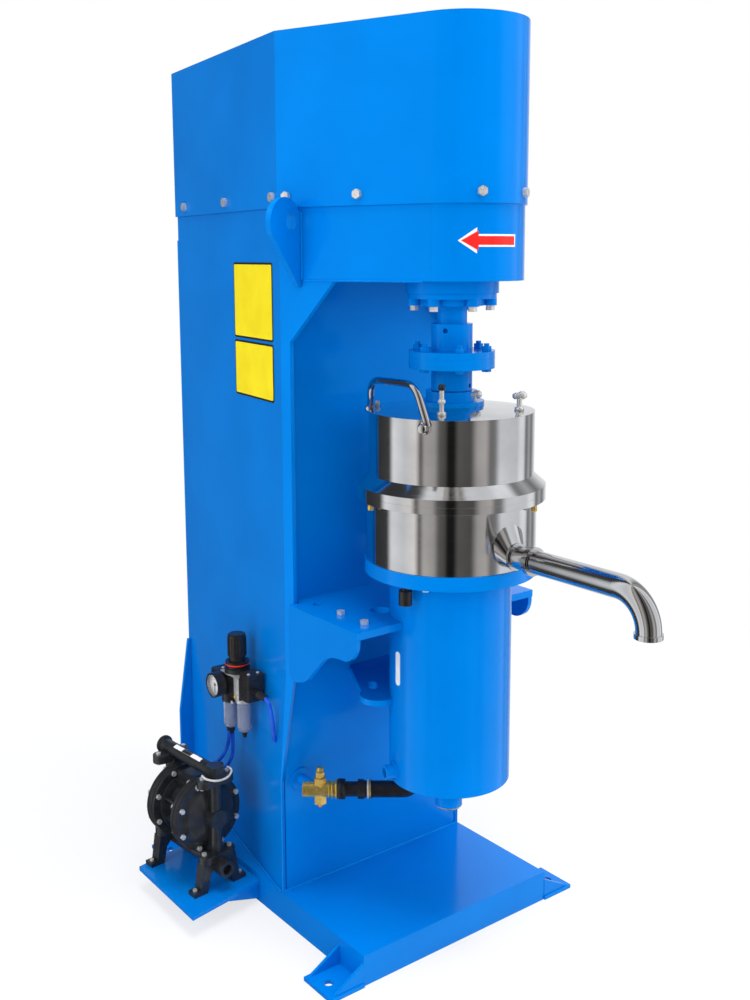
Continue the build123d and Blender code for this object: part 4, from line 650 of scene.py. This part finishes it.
# Studs on the lid: one with an eye and a cap, and two crossed by a bolt
LID_Z = 1.0605
NUT_Z = 1.0625
EYE_STUD = (-0.087, -0.072)
EYE = [(0.0, 0.0), (0.0055, 0.001), (0.0075, 0.005), (0.0055, 0.009), (0.0, 0.010)]
CAP = [(0.0, 0.0), (0.0052, 0.001), (0.0068, 0.006), (0.0050, 0.011), (0.0, 0.0125)]
BOLT_STUDS = ((0.018, -0.043), (0.074, -0.104))
CROSS_BOLT = [(0.0, 0.0), (0.0060, 0.0), (0.0060, 0.014), (0.0078, 0.0145),
              (0.0078, 0.0250), (0.0066, 0.0268), (0.0, 0.0268)]


def make_studs():
    rod = lathe("stud_rod_0", thread(0.0045, 0.050), up_place(*EYE_STUD, LID_Z), zinc,
                turns=20)
    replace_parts(rod, "lid_studs")
    nut = hex_head(0.0085, 0.008)
    lathe("stud_nut_0", nut, up_place(*EYE_STUD, NUT_Z), zinc, turns=6)
    lathe("stud_eye_0", EYE, up_place(*EYE_STUD, 1.084), zinc, turns=20)
    lathe("stud_cap_0", CAP, up_place(*EYE_STUD, 1.108), black, turns=20)
    for i, (x, run) in enumerate(BOLT_STUDS, start=1):
        lathe("stud_rod_%d" % i, thread(0.0052, 0.030), up_place(x, run, LID_Z), zinc,
              turns=20)
        lathe("stud_nut_%d" % i, hex_head(0.0090, 0.007), up_place(x, run, NUT_Z), zinc,
              turns=6)
        across = frame_at(at(x - 0.013, run, 1.0905), UP, (1, 0, 0))
        lathe("stud_bolt_%d" % i, CROSS_BOLT, across, zinc, turns=6)


# Drain coupling that hangs below the vessel
DRAIN_Z = 0.2725
DRAIN_SEAL_Z = 0.3092
DRAIN = [(0.0, 0.0), (0.0225, 0.0), (0.0255, 0.0018), (0.0265, 0.004), (0.0265, 0.034),
         (0.0245, 0.0365), (0.0215, 0.0372), (0.0215, 0.0410), (0.0240, 0.0420),
         (0.0240, 0.0510), (0.0, 0.0510)]
DRAIN_EDGE = [(0.0, -0.0012), (0.0215, -0.0012), (0.0240, 0.0002), (0.0262, 0.0030),
              (0.0268, 0.0044), (0.0, 0.0044)]


def make_drain():
    lathe("drain_coupling", DRAIN, up_place(0, 0, DRAIN_Z), blue)
    lathe("drain_worn_edge", DRAIN_EDGE, up_place(0, 0, DRAIN_Z), brass)
    seal_place = up_place(0, 0, DRAIN_SEAL_Z)
    lathe("drain_seal", disc(0.0225, 0.0046), seal_place, rubber)


# Pump: bare plates on its upper tube, a strap over its flange and an air port
PUMP_TURN = radians(5)
PUMP = at(-0.326, 0.444, 0.050)
PUMP_X = Vector((cos(PUMP_TURN), sin(PUMP_TURN), 0.0))
PUMP_Y = Vector((-sin(PUMP_TURN), cos(PUMP_TURN), 0.0))
UPPER_TUBE_R = 0.014
UPPER_TUBE_H = 0.250
PUMP_PLATES = (
    ("pump_plate_edge", -0.0002, 0.0098, -0.041, 0.057, 0.0004, strap_grey),
    ("pump_plate_left", 0.0003, 0.0093, 0.026, 0.0565, 0.0007, white),
    ("pump_plate_middle", 0.0003, 0.0093, -0.006, 0.0255, 0.0007, grey),
    ("pump_plate_right", 0.0003, 0.0093, -0.0405, -0.0065, 0.0007, white),
)
STRAP_HALF = [(-0.031, -0.082, 0.2515), (-0.0335, -0.098, 0.2500), (-0.014, -0.111, 0.2440)]
AIR_PORT = [(0.0, 0.0), (0.0075, 0.0), (0.0075, 0.021), (0.0066, 0.022), (0.0066, 0.026),
            (0.0058, 0.0285), (0.0035, 0.0300), (0.0, 0.0300)]


def pump_point(x, y, h):
    return PUMP + x * PUMP_X + y * PUMP_Y + h * UP


def upper_tube_place(a, b, h):
    """Point on the pump's upper tube: a round it from its crown, b along it."""
    angle = pi / 2 + a / UPPER_TUBE_R
    r = UPPER_TUBE_R + 0.0002 + h
    return pump_point(r * cos(angle), b, UPPER_TUBE_H + r * sin(angle))


def curved_plate(name, a0, a1, b0, b1, height, mat, steps=8):
    """Thin plate bent round the upper tube."""
    line = [(a0 + (a1 - a0) * i / steps, b0) for i in range(steps + 1)]
    line += [(a1 + (a0 - a1) * i / steps, b1) for i in range(steps + 1)]
    n = len(line)
    cover = [[i, i + 1, n - 2 - i, n - 1 - i] for i in range(steps)]
    plate(name, line, cover, upper_tube_place, height, mat)


def make_pump_trim():
    for name, *sizes in PUMP_PLATES:
        curved_plate(name, *sizes)
    points = STRAP_HALF + [(-x, y, h) for x, y, h in reversed(STRAP_HALF)]
    path = rounded_path([pump_point(*p) for p in points], 0.012)
    tube("pump_strap", path, 0.0022, strap_grey)
    port_place = frame_at(pump_point(0.033, -0.055, 0.222), PUMP_X, UP)
    lathe("pump_air_port", AIR_PORT, port_place, pump_black, turns=28)


# Air tubes on smooth curves, with the supply's fitting
AIR_X = -0.234
SUPPLY_R = 0.0040
PUMP_TUBE_R = 0.0038
SUPPLY_POINTS = ((-0.234, 0.300, 0.458), (-0.235, 0.283, 0.449), (-0.236, 0.271, 0.425),
                 (-0.235, 0.268, 0.398), (-0.231, 0.271, 0.378), (-0.2150, 0.276, 0.366))
PUMP_TUBE_POINTS = (
    ((-0.2385, 0.438, 0.3420), (-0.2395, 0.441, 0.318), (-0.2450, 0.448, 0.292),
     (-0.2620, 0.458, 0.270), (-0.3055, 0.466, 0.2580)),
    ((-0.2305, 0.438, 0.3420), (-0.2300, 0.439, 0.312), (-0.2320, 0.443, 0.278),
     (-0.2480, 0.456, 0.250), (-0.3055, 0.466, 0.2440)),
)
SUPPLY_FITTING = [
    (0.0, 0.0), (0.0085, 0.0), (0.0085, 0.005), (0.0070, 0.006), (0.0070, 0.010),
    (0.0090, 0.011), (0.0090, 0.014), (0.0064, 0.015), (0.0064, 0.019), (0.0076, 0.020),
    (0.0070, 0.025), (0.0052, 0.027), (0.0, 0.027),
]


def make_air_tubes():
    path = spline([at(*p) for p in SUPPLY_POINTS])
    supply = tube("supply_tube", path, SUPPLY_R, tube_blue)
    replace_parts(supply, "air_tubes")
    for i, points in enumerate(PUMP_TUBE_POINTS):
        path = spline([at(*p) for p in points])
        tube("pump_tube_%d" % i, path, PUMP_TUBE_R, tube_blue)
    place = frame_at(at(AIR_X, 0.3245, 0.458), UP, (0, -1, 0))
    lathe("supply_fitting", SUPPLY_FITTING, place, black, turns=24)


# Rings and screws of the air set
KNOB_RUN = 0.406
AIR_FACE_X = AIR_X - 0.0222
GAUGE_NUT = [(0.0, 0.0), (0.0112, 0.0), (0.0112, 0.0060), (0.0102, 0.0072), (0.0, 0.0072)]
AIR_SCREWS = (("air_screw_0", 0.3795, 0.4405, 0.0042, brass),
              ("air_screw_2", 0.392, 0.4250, 0.0036, zinc))
AIR_TOP_SCREWS = ((-0.012, 0.342, 0.4962), (0.010, 0.342, 0.4962),
                  (-0.012, 0.444, 0.4820), (0.010, 0.444, 0.4820))
AIR_TOP_SCREW = [(0.0, 0.0), (0.0036, 0.0), (0.0036, 0.0020), (0.0026, 0.0032), (0.0, 0.0034)]


def make_air_trim():
    lock_low, lock_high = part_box("lock_ring")
    lock_r = (lock_high[0] - lock_low[0]) / 2
    lathe("lock_ring_line", disc(lock_r + 0.0004, 0.0026),
          up_place(AIR_X, KNOB_RUN, lock_low[2] + 0.0012), red)
    lathe("bonnet_rim", disc(lock_r + 0.0024, 0.0022), up_place(AIR_X, KNOB_RUN, 0.4823),
          alloy)
    nut_place = frame_at(at(AIR_FACE_X, 0.426, 0.458), UP, (-1, 0, 0))
    lathe("gauge_nut", GAUGE_NUT, nut_place, alloy, turns=6)
    for name, run, z, r, mat in AIR_SCREWS:
        head = [(0.0, 0.0), (r, 0.0), (r, 0.002), (0.7 * r, 0.003), (0.0, 0.003)]
        place = frame_at(at(AIR_FACE_X, run, z), UP, (-1, 0, 0))
        lathe(name, head, place, mat, turns=18)
    for i, (dx, run, z) in enumerate(AIR_TOP_SCREWS):
        lathe("air_top_screw_%d" % i, AIR_TOP_SCREW, up_place(AIR_X + dx, run, z), zinc,
              turns=18)


# Rings on the feed line: distance from the valve's middle, length and radius
LINE_TURN = radians(-37.8)
LINE_DIR = Vector((cos(LINE_TURN), sin(LINE_TURN), 0.0))
VALVE_Z = 0.292
COLLARS = [
    ("valve_ring_0", 0.0300, 0.0044, 0.0190, brass, "brass", 40),
    ("valve_ring_1", 0.0222, 0.0030, 0.0186, brass, "brass", 40),
    ("valve_ring_2", 0.0165, 0.0022, 0.0184, brass, "brass", 40),
    *(("union_rib_%d" % i, 0.0755 + 0.0026 * i, 0.0016, 0.0197, black, "black_fitting", 40)
      for i in range(5)),
    ("union_band", 0.0935, 0.0042, 0.0192, zinc, "zinc", 40),
    ("union_gold_band", 0.0980, 0.0036, 0.0190, brass, "brass", 40),
    ("union_nut", 0.0352, 0.0150, 0.0224, black, "black_fitting", 6),
]
VALVE_TIP = [(0.0, 0.0), (0.0036, 0.001), (0.0038, 0.010), (0.0, 0.010)]
VALVE_GLAND = [(0.0, 0.0), (0.0072, 0.0), (0.0072, 0.0048), (0.0060, 0.0060),
               (0.0060, 0.0086), (0.0, 0.0090)]


def make_feed_trim():
    low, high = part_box("feed_valve")
    middle_x, middle_y = (low[0] + high[0]) / 2, (low[1] + high[1]) / 2
    middle = Vector((middle_x, middle_y, VALVE_Z))
    for name, start, length, r, mat, slot, turns in COLLARS:
        ease = min(0.0012, length / 3)
        profile = [(0.0, 0.0), (r - ease, 0.0), (r, ease), (r, length - ease),
                   (r - ease, length), (0.0, length)]
        place = frame_at(middle + start * LINE_DIR, UP, LINE_DIR)
        lathe(name, profile, place, mat, turns=turns)
    tip_place = frame_at((middle_x, middle_y, low[2] - 0.0006), (1, 0, 0), UP)
    lathe("valve_tip", VALVE_TIP, tip_place, orange)
    gland_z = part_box("valve_stem")[1][2] - 0.0002
    gland_place = frame_at((middle_x, middle_y, gland_z), (1, 0, 0), UP)
    lathe("valve_gland", VALVE_GLAND, gland_place, brass, body="valve_stem", turns=24)


# Lifting lugs as wide as the photograph's, round the same holes
ARM_DIR = Vector((0.35179, -0.93608, 0.0))
ARM_OUT = Vector((-0.93608, -0.35179, 0.0))
LUG_ROOT = at(-0.2056, 0.198, 1.404)
LUG_HALF = 0.006
LUG_INNER = 0.0006
LUG_FOOT = 0.0080
LUG_LOW = -0.1160
LUG_HIGH = 0.022
LUG_ROUND_AT = 0.047
LUG_ROUND_R = 0.046
LUG_ROUND_FROM = -28
LUG_HOLE = (0.0313, 0.003)
LUG_HOLE_R = 0.016


def lug_outline():
    """Outline of the lug, its straight edges divided so that the hole stays round."""
    arc = []
    for i in range(25):
        a = radians(LUG_ROUND_FROM + 180 * i / 24)
        arc.append((LUG_ROUND_AT + LUG_ROUND_R * cos(a), LUG_ROUND_R * sin(a)))
    corners = [(LUG_INNER, LUG_HIGH), (LUG_INNER, LUG_LOW), (LUG_FOOT, LUG_LOW), arc[0]]
    line = []
    for (x0, y0), (x1, y1), parts in zip(corners, corners[1:], (16, 2, 14)):
        line += [(x0 + (x1 - x0) * i / parts, y0 + (y1 - y0) * i / parts) for i in range(parts)]
    return line + arc


def lug(name, hand):
    """Plate with a hole: quads from the outline to the hole, both faces and both walls."""
    line = lug_outline()
    n = len(line)
    hole_x, hole_y = LUG_HOLE
    ring = []
    for x, y in line:
        a = atan2(y - hole_y, x - hole_x)
        ring.append((hole_x + LUG_HOLE_R * cos(a), hole_y + LUG_HOLE_R * sin(a)))
    verts = []
    for side in (-LUG_HALF, LUG_HALF):
        for x, y in line + ring:
            p = LUG_ROOT + x * ARM_OUT + y * UP + side * ARM_DIR
            verts.append(Vector((hand * p.x, p.y, p.z)))
    faces = []
    for i in range(n):
        j = (i + 1) % n
        faces.append([i, j, n + j, n + i])
        faces.append([2 * n + i, 2 * n + j, 3 * n + j, 3 * n + i])
        faces.append([i, j, 2 * n + j, 2 * n + i])
        faces.append([n + i, n + j, 3 * n + j, 3 * n + i])
    return add_piece(name, mesh_of(name, verts, faces), blue, smooth=False)


def make_lugs():
    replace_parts(lug("lifting_lug_left", 1), "lifting_lugs")
    lug("lifting_lug_right", -1)
    bead("bead_lug", at(-0.2044, 0.190, 1.300), at(-0.2044, 0.190, 1.424), 0.0022,
         ARM_OUT.normalized())


# Floor, studio and lamps
FLOOR_HALF = 40.0
SHADOW_FADE = (0.7, 2.2)
FLOOR_GLOW = (0.70, 1.0)
WORLD_TURN = radians(131.5)
WORLD_LEVEL = 0.70
# Bands that gloss mirrors: degrees from the camera, positive to its right, and level
BANDS = (
    (-180, 0.85), (-150, 0.10), (-135, 0.06), (-131, 0.10), (-126, 0.05), (-120, 0.04),
    (-94, 0.06), (-86, 0.95), (-66, 0.74), (-49, 0.90), (-42, 0.10), (-36, 0.52), (-22, 0.42),
    (-16, 0.13), (-8, 0.09), (-4, 0.01), (4, 0.01), (10, 0.12), (27, 0.09), (36, 0.45),
    (48, 0.52), (55, 0.20), (62, 0.25), (70, 0.85), (102, 0.74), (108, 1.0), (117, 1.0),
    (124, 0.18), (134, 0.50), (142, 0.20), (160, 0.85), (180, 0.85),
)
WARM = (1.0, 0.96, 0.92)
COOL = (0.96, 0.98, 1.0)
WARM_WITHIN = 60
LAMPS = (
    ("key_light", (2.2, -3.2, 2.6), (0, -0.1, 0.8), (1.6, 2.4), 60),
    ("left_light", (-3.6, -0.6, 2.2), (0, 0.1, 0.9), (1.6, 2.4), 40),
    ("top_light", (0.0, -0.6, 4.2), (0, -0.2, 0.5), (2.2, 2.2), 150),
    ("front_light", (-2.2, -3.4, 1.6), (0, -0.1, 0.7), (1.6, 1.6), 15),
)


def make_floor():
    """Pale floor that keeps the shadow and fades to the white background."""
    s = FLOOR_HALF
    mesh = mesh_of("floor", [(-s, -s, 0), (s, -s, 0), (s, s, 0), (-s, s, 0)], [[0, 1, 2, 3]])
    floor = bpy.data.objects.new("floor", mesh)
    bpy.context.scene.collection.objects.link(floor)
    mat = bpy.data.materials.new("floor_paper")
    mat.use_nodes = True
    tree = mat.node_tree
    tree.nodes.clear()
    out = tree.nodes.new("ShaderNodeOutputMaterial")
    diffuse = tree.nodes.new("ShaderNodeBsdfDiffuse")
    diffuse.inputs["Color"].default_value = (0.82, 0.82, 0.82, 1)
    glow = tree.nodes.new("ShaderNodeEmission")
    glow.inputs["Strength"].default_value = 1.0
    path = tree.nodes.new("ShaderNodeLightPath")
    coord = tree.nodes.new("ShaderNodeTexCoord")
    length = tree.nodes.new("ShaderNodeVectorMath")
    length.operation = "LENGTH"
    fade = tree.nodes.new("ShaderNodeMapRange")
    fade.inputs["From Min"].default_value, fade.inputs["From Max"].default_value = SHADOW_FADE
    fade.inputs["To Min"].default_value, fade.inputs["To Max"].default_value = FLOOR_GLOW
    mix = tree.nodes.new("ShaderNodeMixShader")
    tree.links.new(coord.outputs["Object"], length.inputs[0])
    tree.links.new(length.outputs["Value"], fade.inputs["Value"])
    seen = combine(tree, "MULTIPLY", fade.outputs["Result"], path.outputs["Is Camera Ray"])
    tree.links.new(seen, mix.inputs[0])
    tree.links.new(diffuse.outputs[0], mix.inputs[1])
    tree.links.new(glow.outputs[0], mix.inputs[2])
    tree.links.new(mix.outputs[0], out.inputs[0])
    mesh.materials.append(mat)
    floor.visible_glossy = False


def make_world():
    """Plain light, bands of a studio for gloss to mirror, and white behind all."""
    world = bpy.data.worlds.new("studio")
    bpy.context.scene.world = world
    world.use_nodes = True
    tree = world.node_tree
    tree.nodes.clear()
    out = tree.nodes.new("ShaderNodeOutputWorld")
    path = tree.nodes.new("ShaderNodeLightPath")
    coord = tree.nodes.new("ShaderNodeTexCoord")
    turn = tree.nodes.new("ShaderNodeMapping")
    turn.inputs["Rotation"].default_value = (0, 0, WORLD_TURN)
    round_it = tree.nodes.new("ShaderNodeTexGradient")
    round_it.gradient_type = "RADIAL"
    ramp = tree.nodes.new("ShaderNodeValToRGB")
    elements = ramp.color_ramp.elements
    while len(elements) > 1:
        elements.remove(elements[-1])
    for i, (angle, level) in enumerate(BANDS):
        where = (angle + 180.0) / 360.0
        stop = elements[0] if i == 0 else elements.new(where)
        stop.position = where
        hue = WARM if abs(angle) < WARM_WITHIN else COOL
        stop.color = (*(level * c for c in hue), 1)
    plain = tree.nodes.new("ShaderNodeBackground")
    plain.inputs["Color"].default_value = (0.95, 0.97, 1.0, 1)
    plain.inputs["Strength"].default_value = WORLD_LEVEL
    banded = tree.nodes.new("ShaderNodeBackground")
    behind = tree.nodes.new("ShaderNodeBackground")
    behind.inputs["Color"].default_value = (1, 1, 1, 1)
    glossy_mix = tree.nodes.new("ShaderNodeMixShader")
    seen_mix = tree.nodes.new("ShaderNodeMixShader")
    tree.links.new(coord.outputs["Generated"], turn.inputs["Vector"])
    tree.links.new(turn.outputs["Vector"], round_it.inputs["Vector"])
    tree.links.new(round_it.outputs["Fac"], ramp.inputs["Fac"])
    tree.links.new(ramp.outputs["Color"], banded.inputs["Color"])
    tree.links.new(path.outputs["Is Glossy Ray"], glossy_mix.inputs[0])
    tree.links.new(plain.outputs[0], glossy_mix.inputs[1])
    tree.links.new(banded.outputs[0], glossy_mix.inputs[2])
    seen = combine(tree, "MAXIMUM", path.outputs["Is Camera Ray"],
                   path.outputs["Is Transmission Ray"])
    tree.links.new(seen, seen_mix.inputs[0])
    tree.links.new(glossy_mix.outputs[0], seen_mix.inputs[1])
    tree.links.new(behind.outputs[0], seen_mix.inputs[2])
    tree.links.new(seen_mix.outputs[0], out.inputs[0])


def make_lamp(name, where, target, size, power):
    data = bpy.data.lights.new(name, "AREA")
    data.shape = "RECTANGLE"
    data.size, data.size_y = size
    data.energy = power
    light = bpy.data.objects.new(name, data)
    bpy.context.scene.collection.objects.link(light)
    light.location = where
    light.rotation_euler = (Vector(target) - Vector(where)).to_track_quat("-Z", "Y").to_euler()
    light.visible_camera = False
    light.visible_glossy = False


make_camera()
bpy.context.scene.view_settings.view_transform = "Standard"
dress_solids()
make_yellow_plates()
make_arrow()
make_strip_and_beads()
make_gauge()
make_handle()
make_ring_screws()
make_studs()
make_drain()
make_pump_trim()
make_air_tubes()
make_air_trim()
make_feed_trim()
make_lugs()
make_floor()
make_world()
for settings in LAMPS:
    make_lamp(*settings)
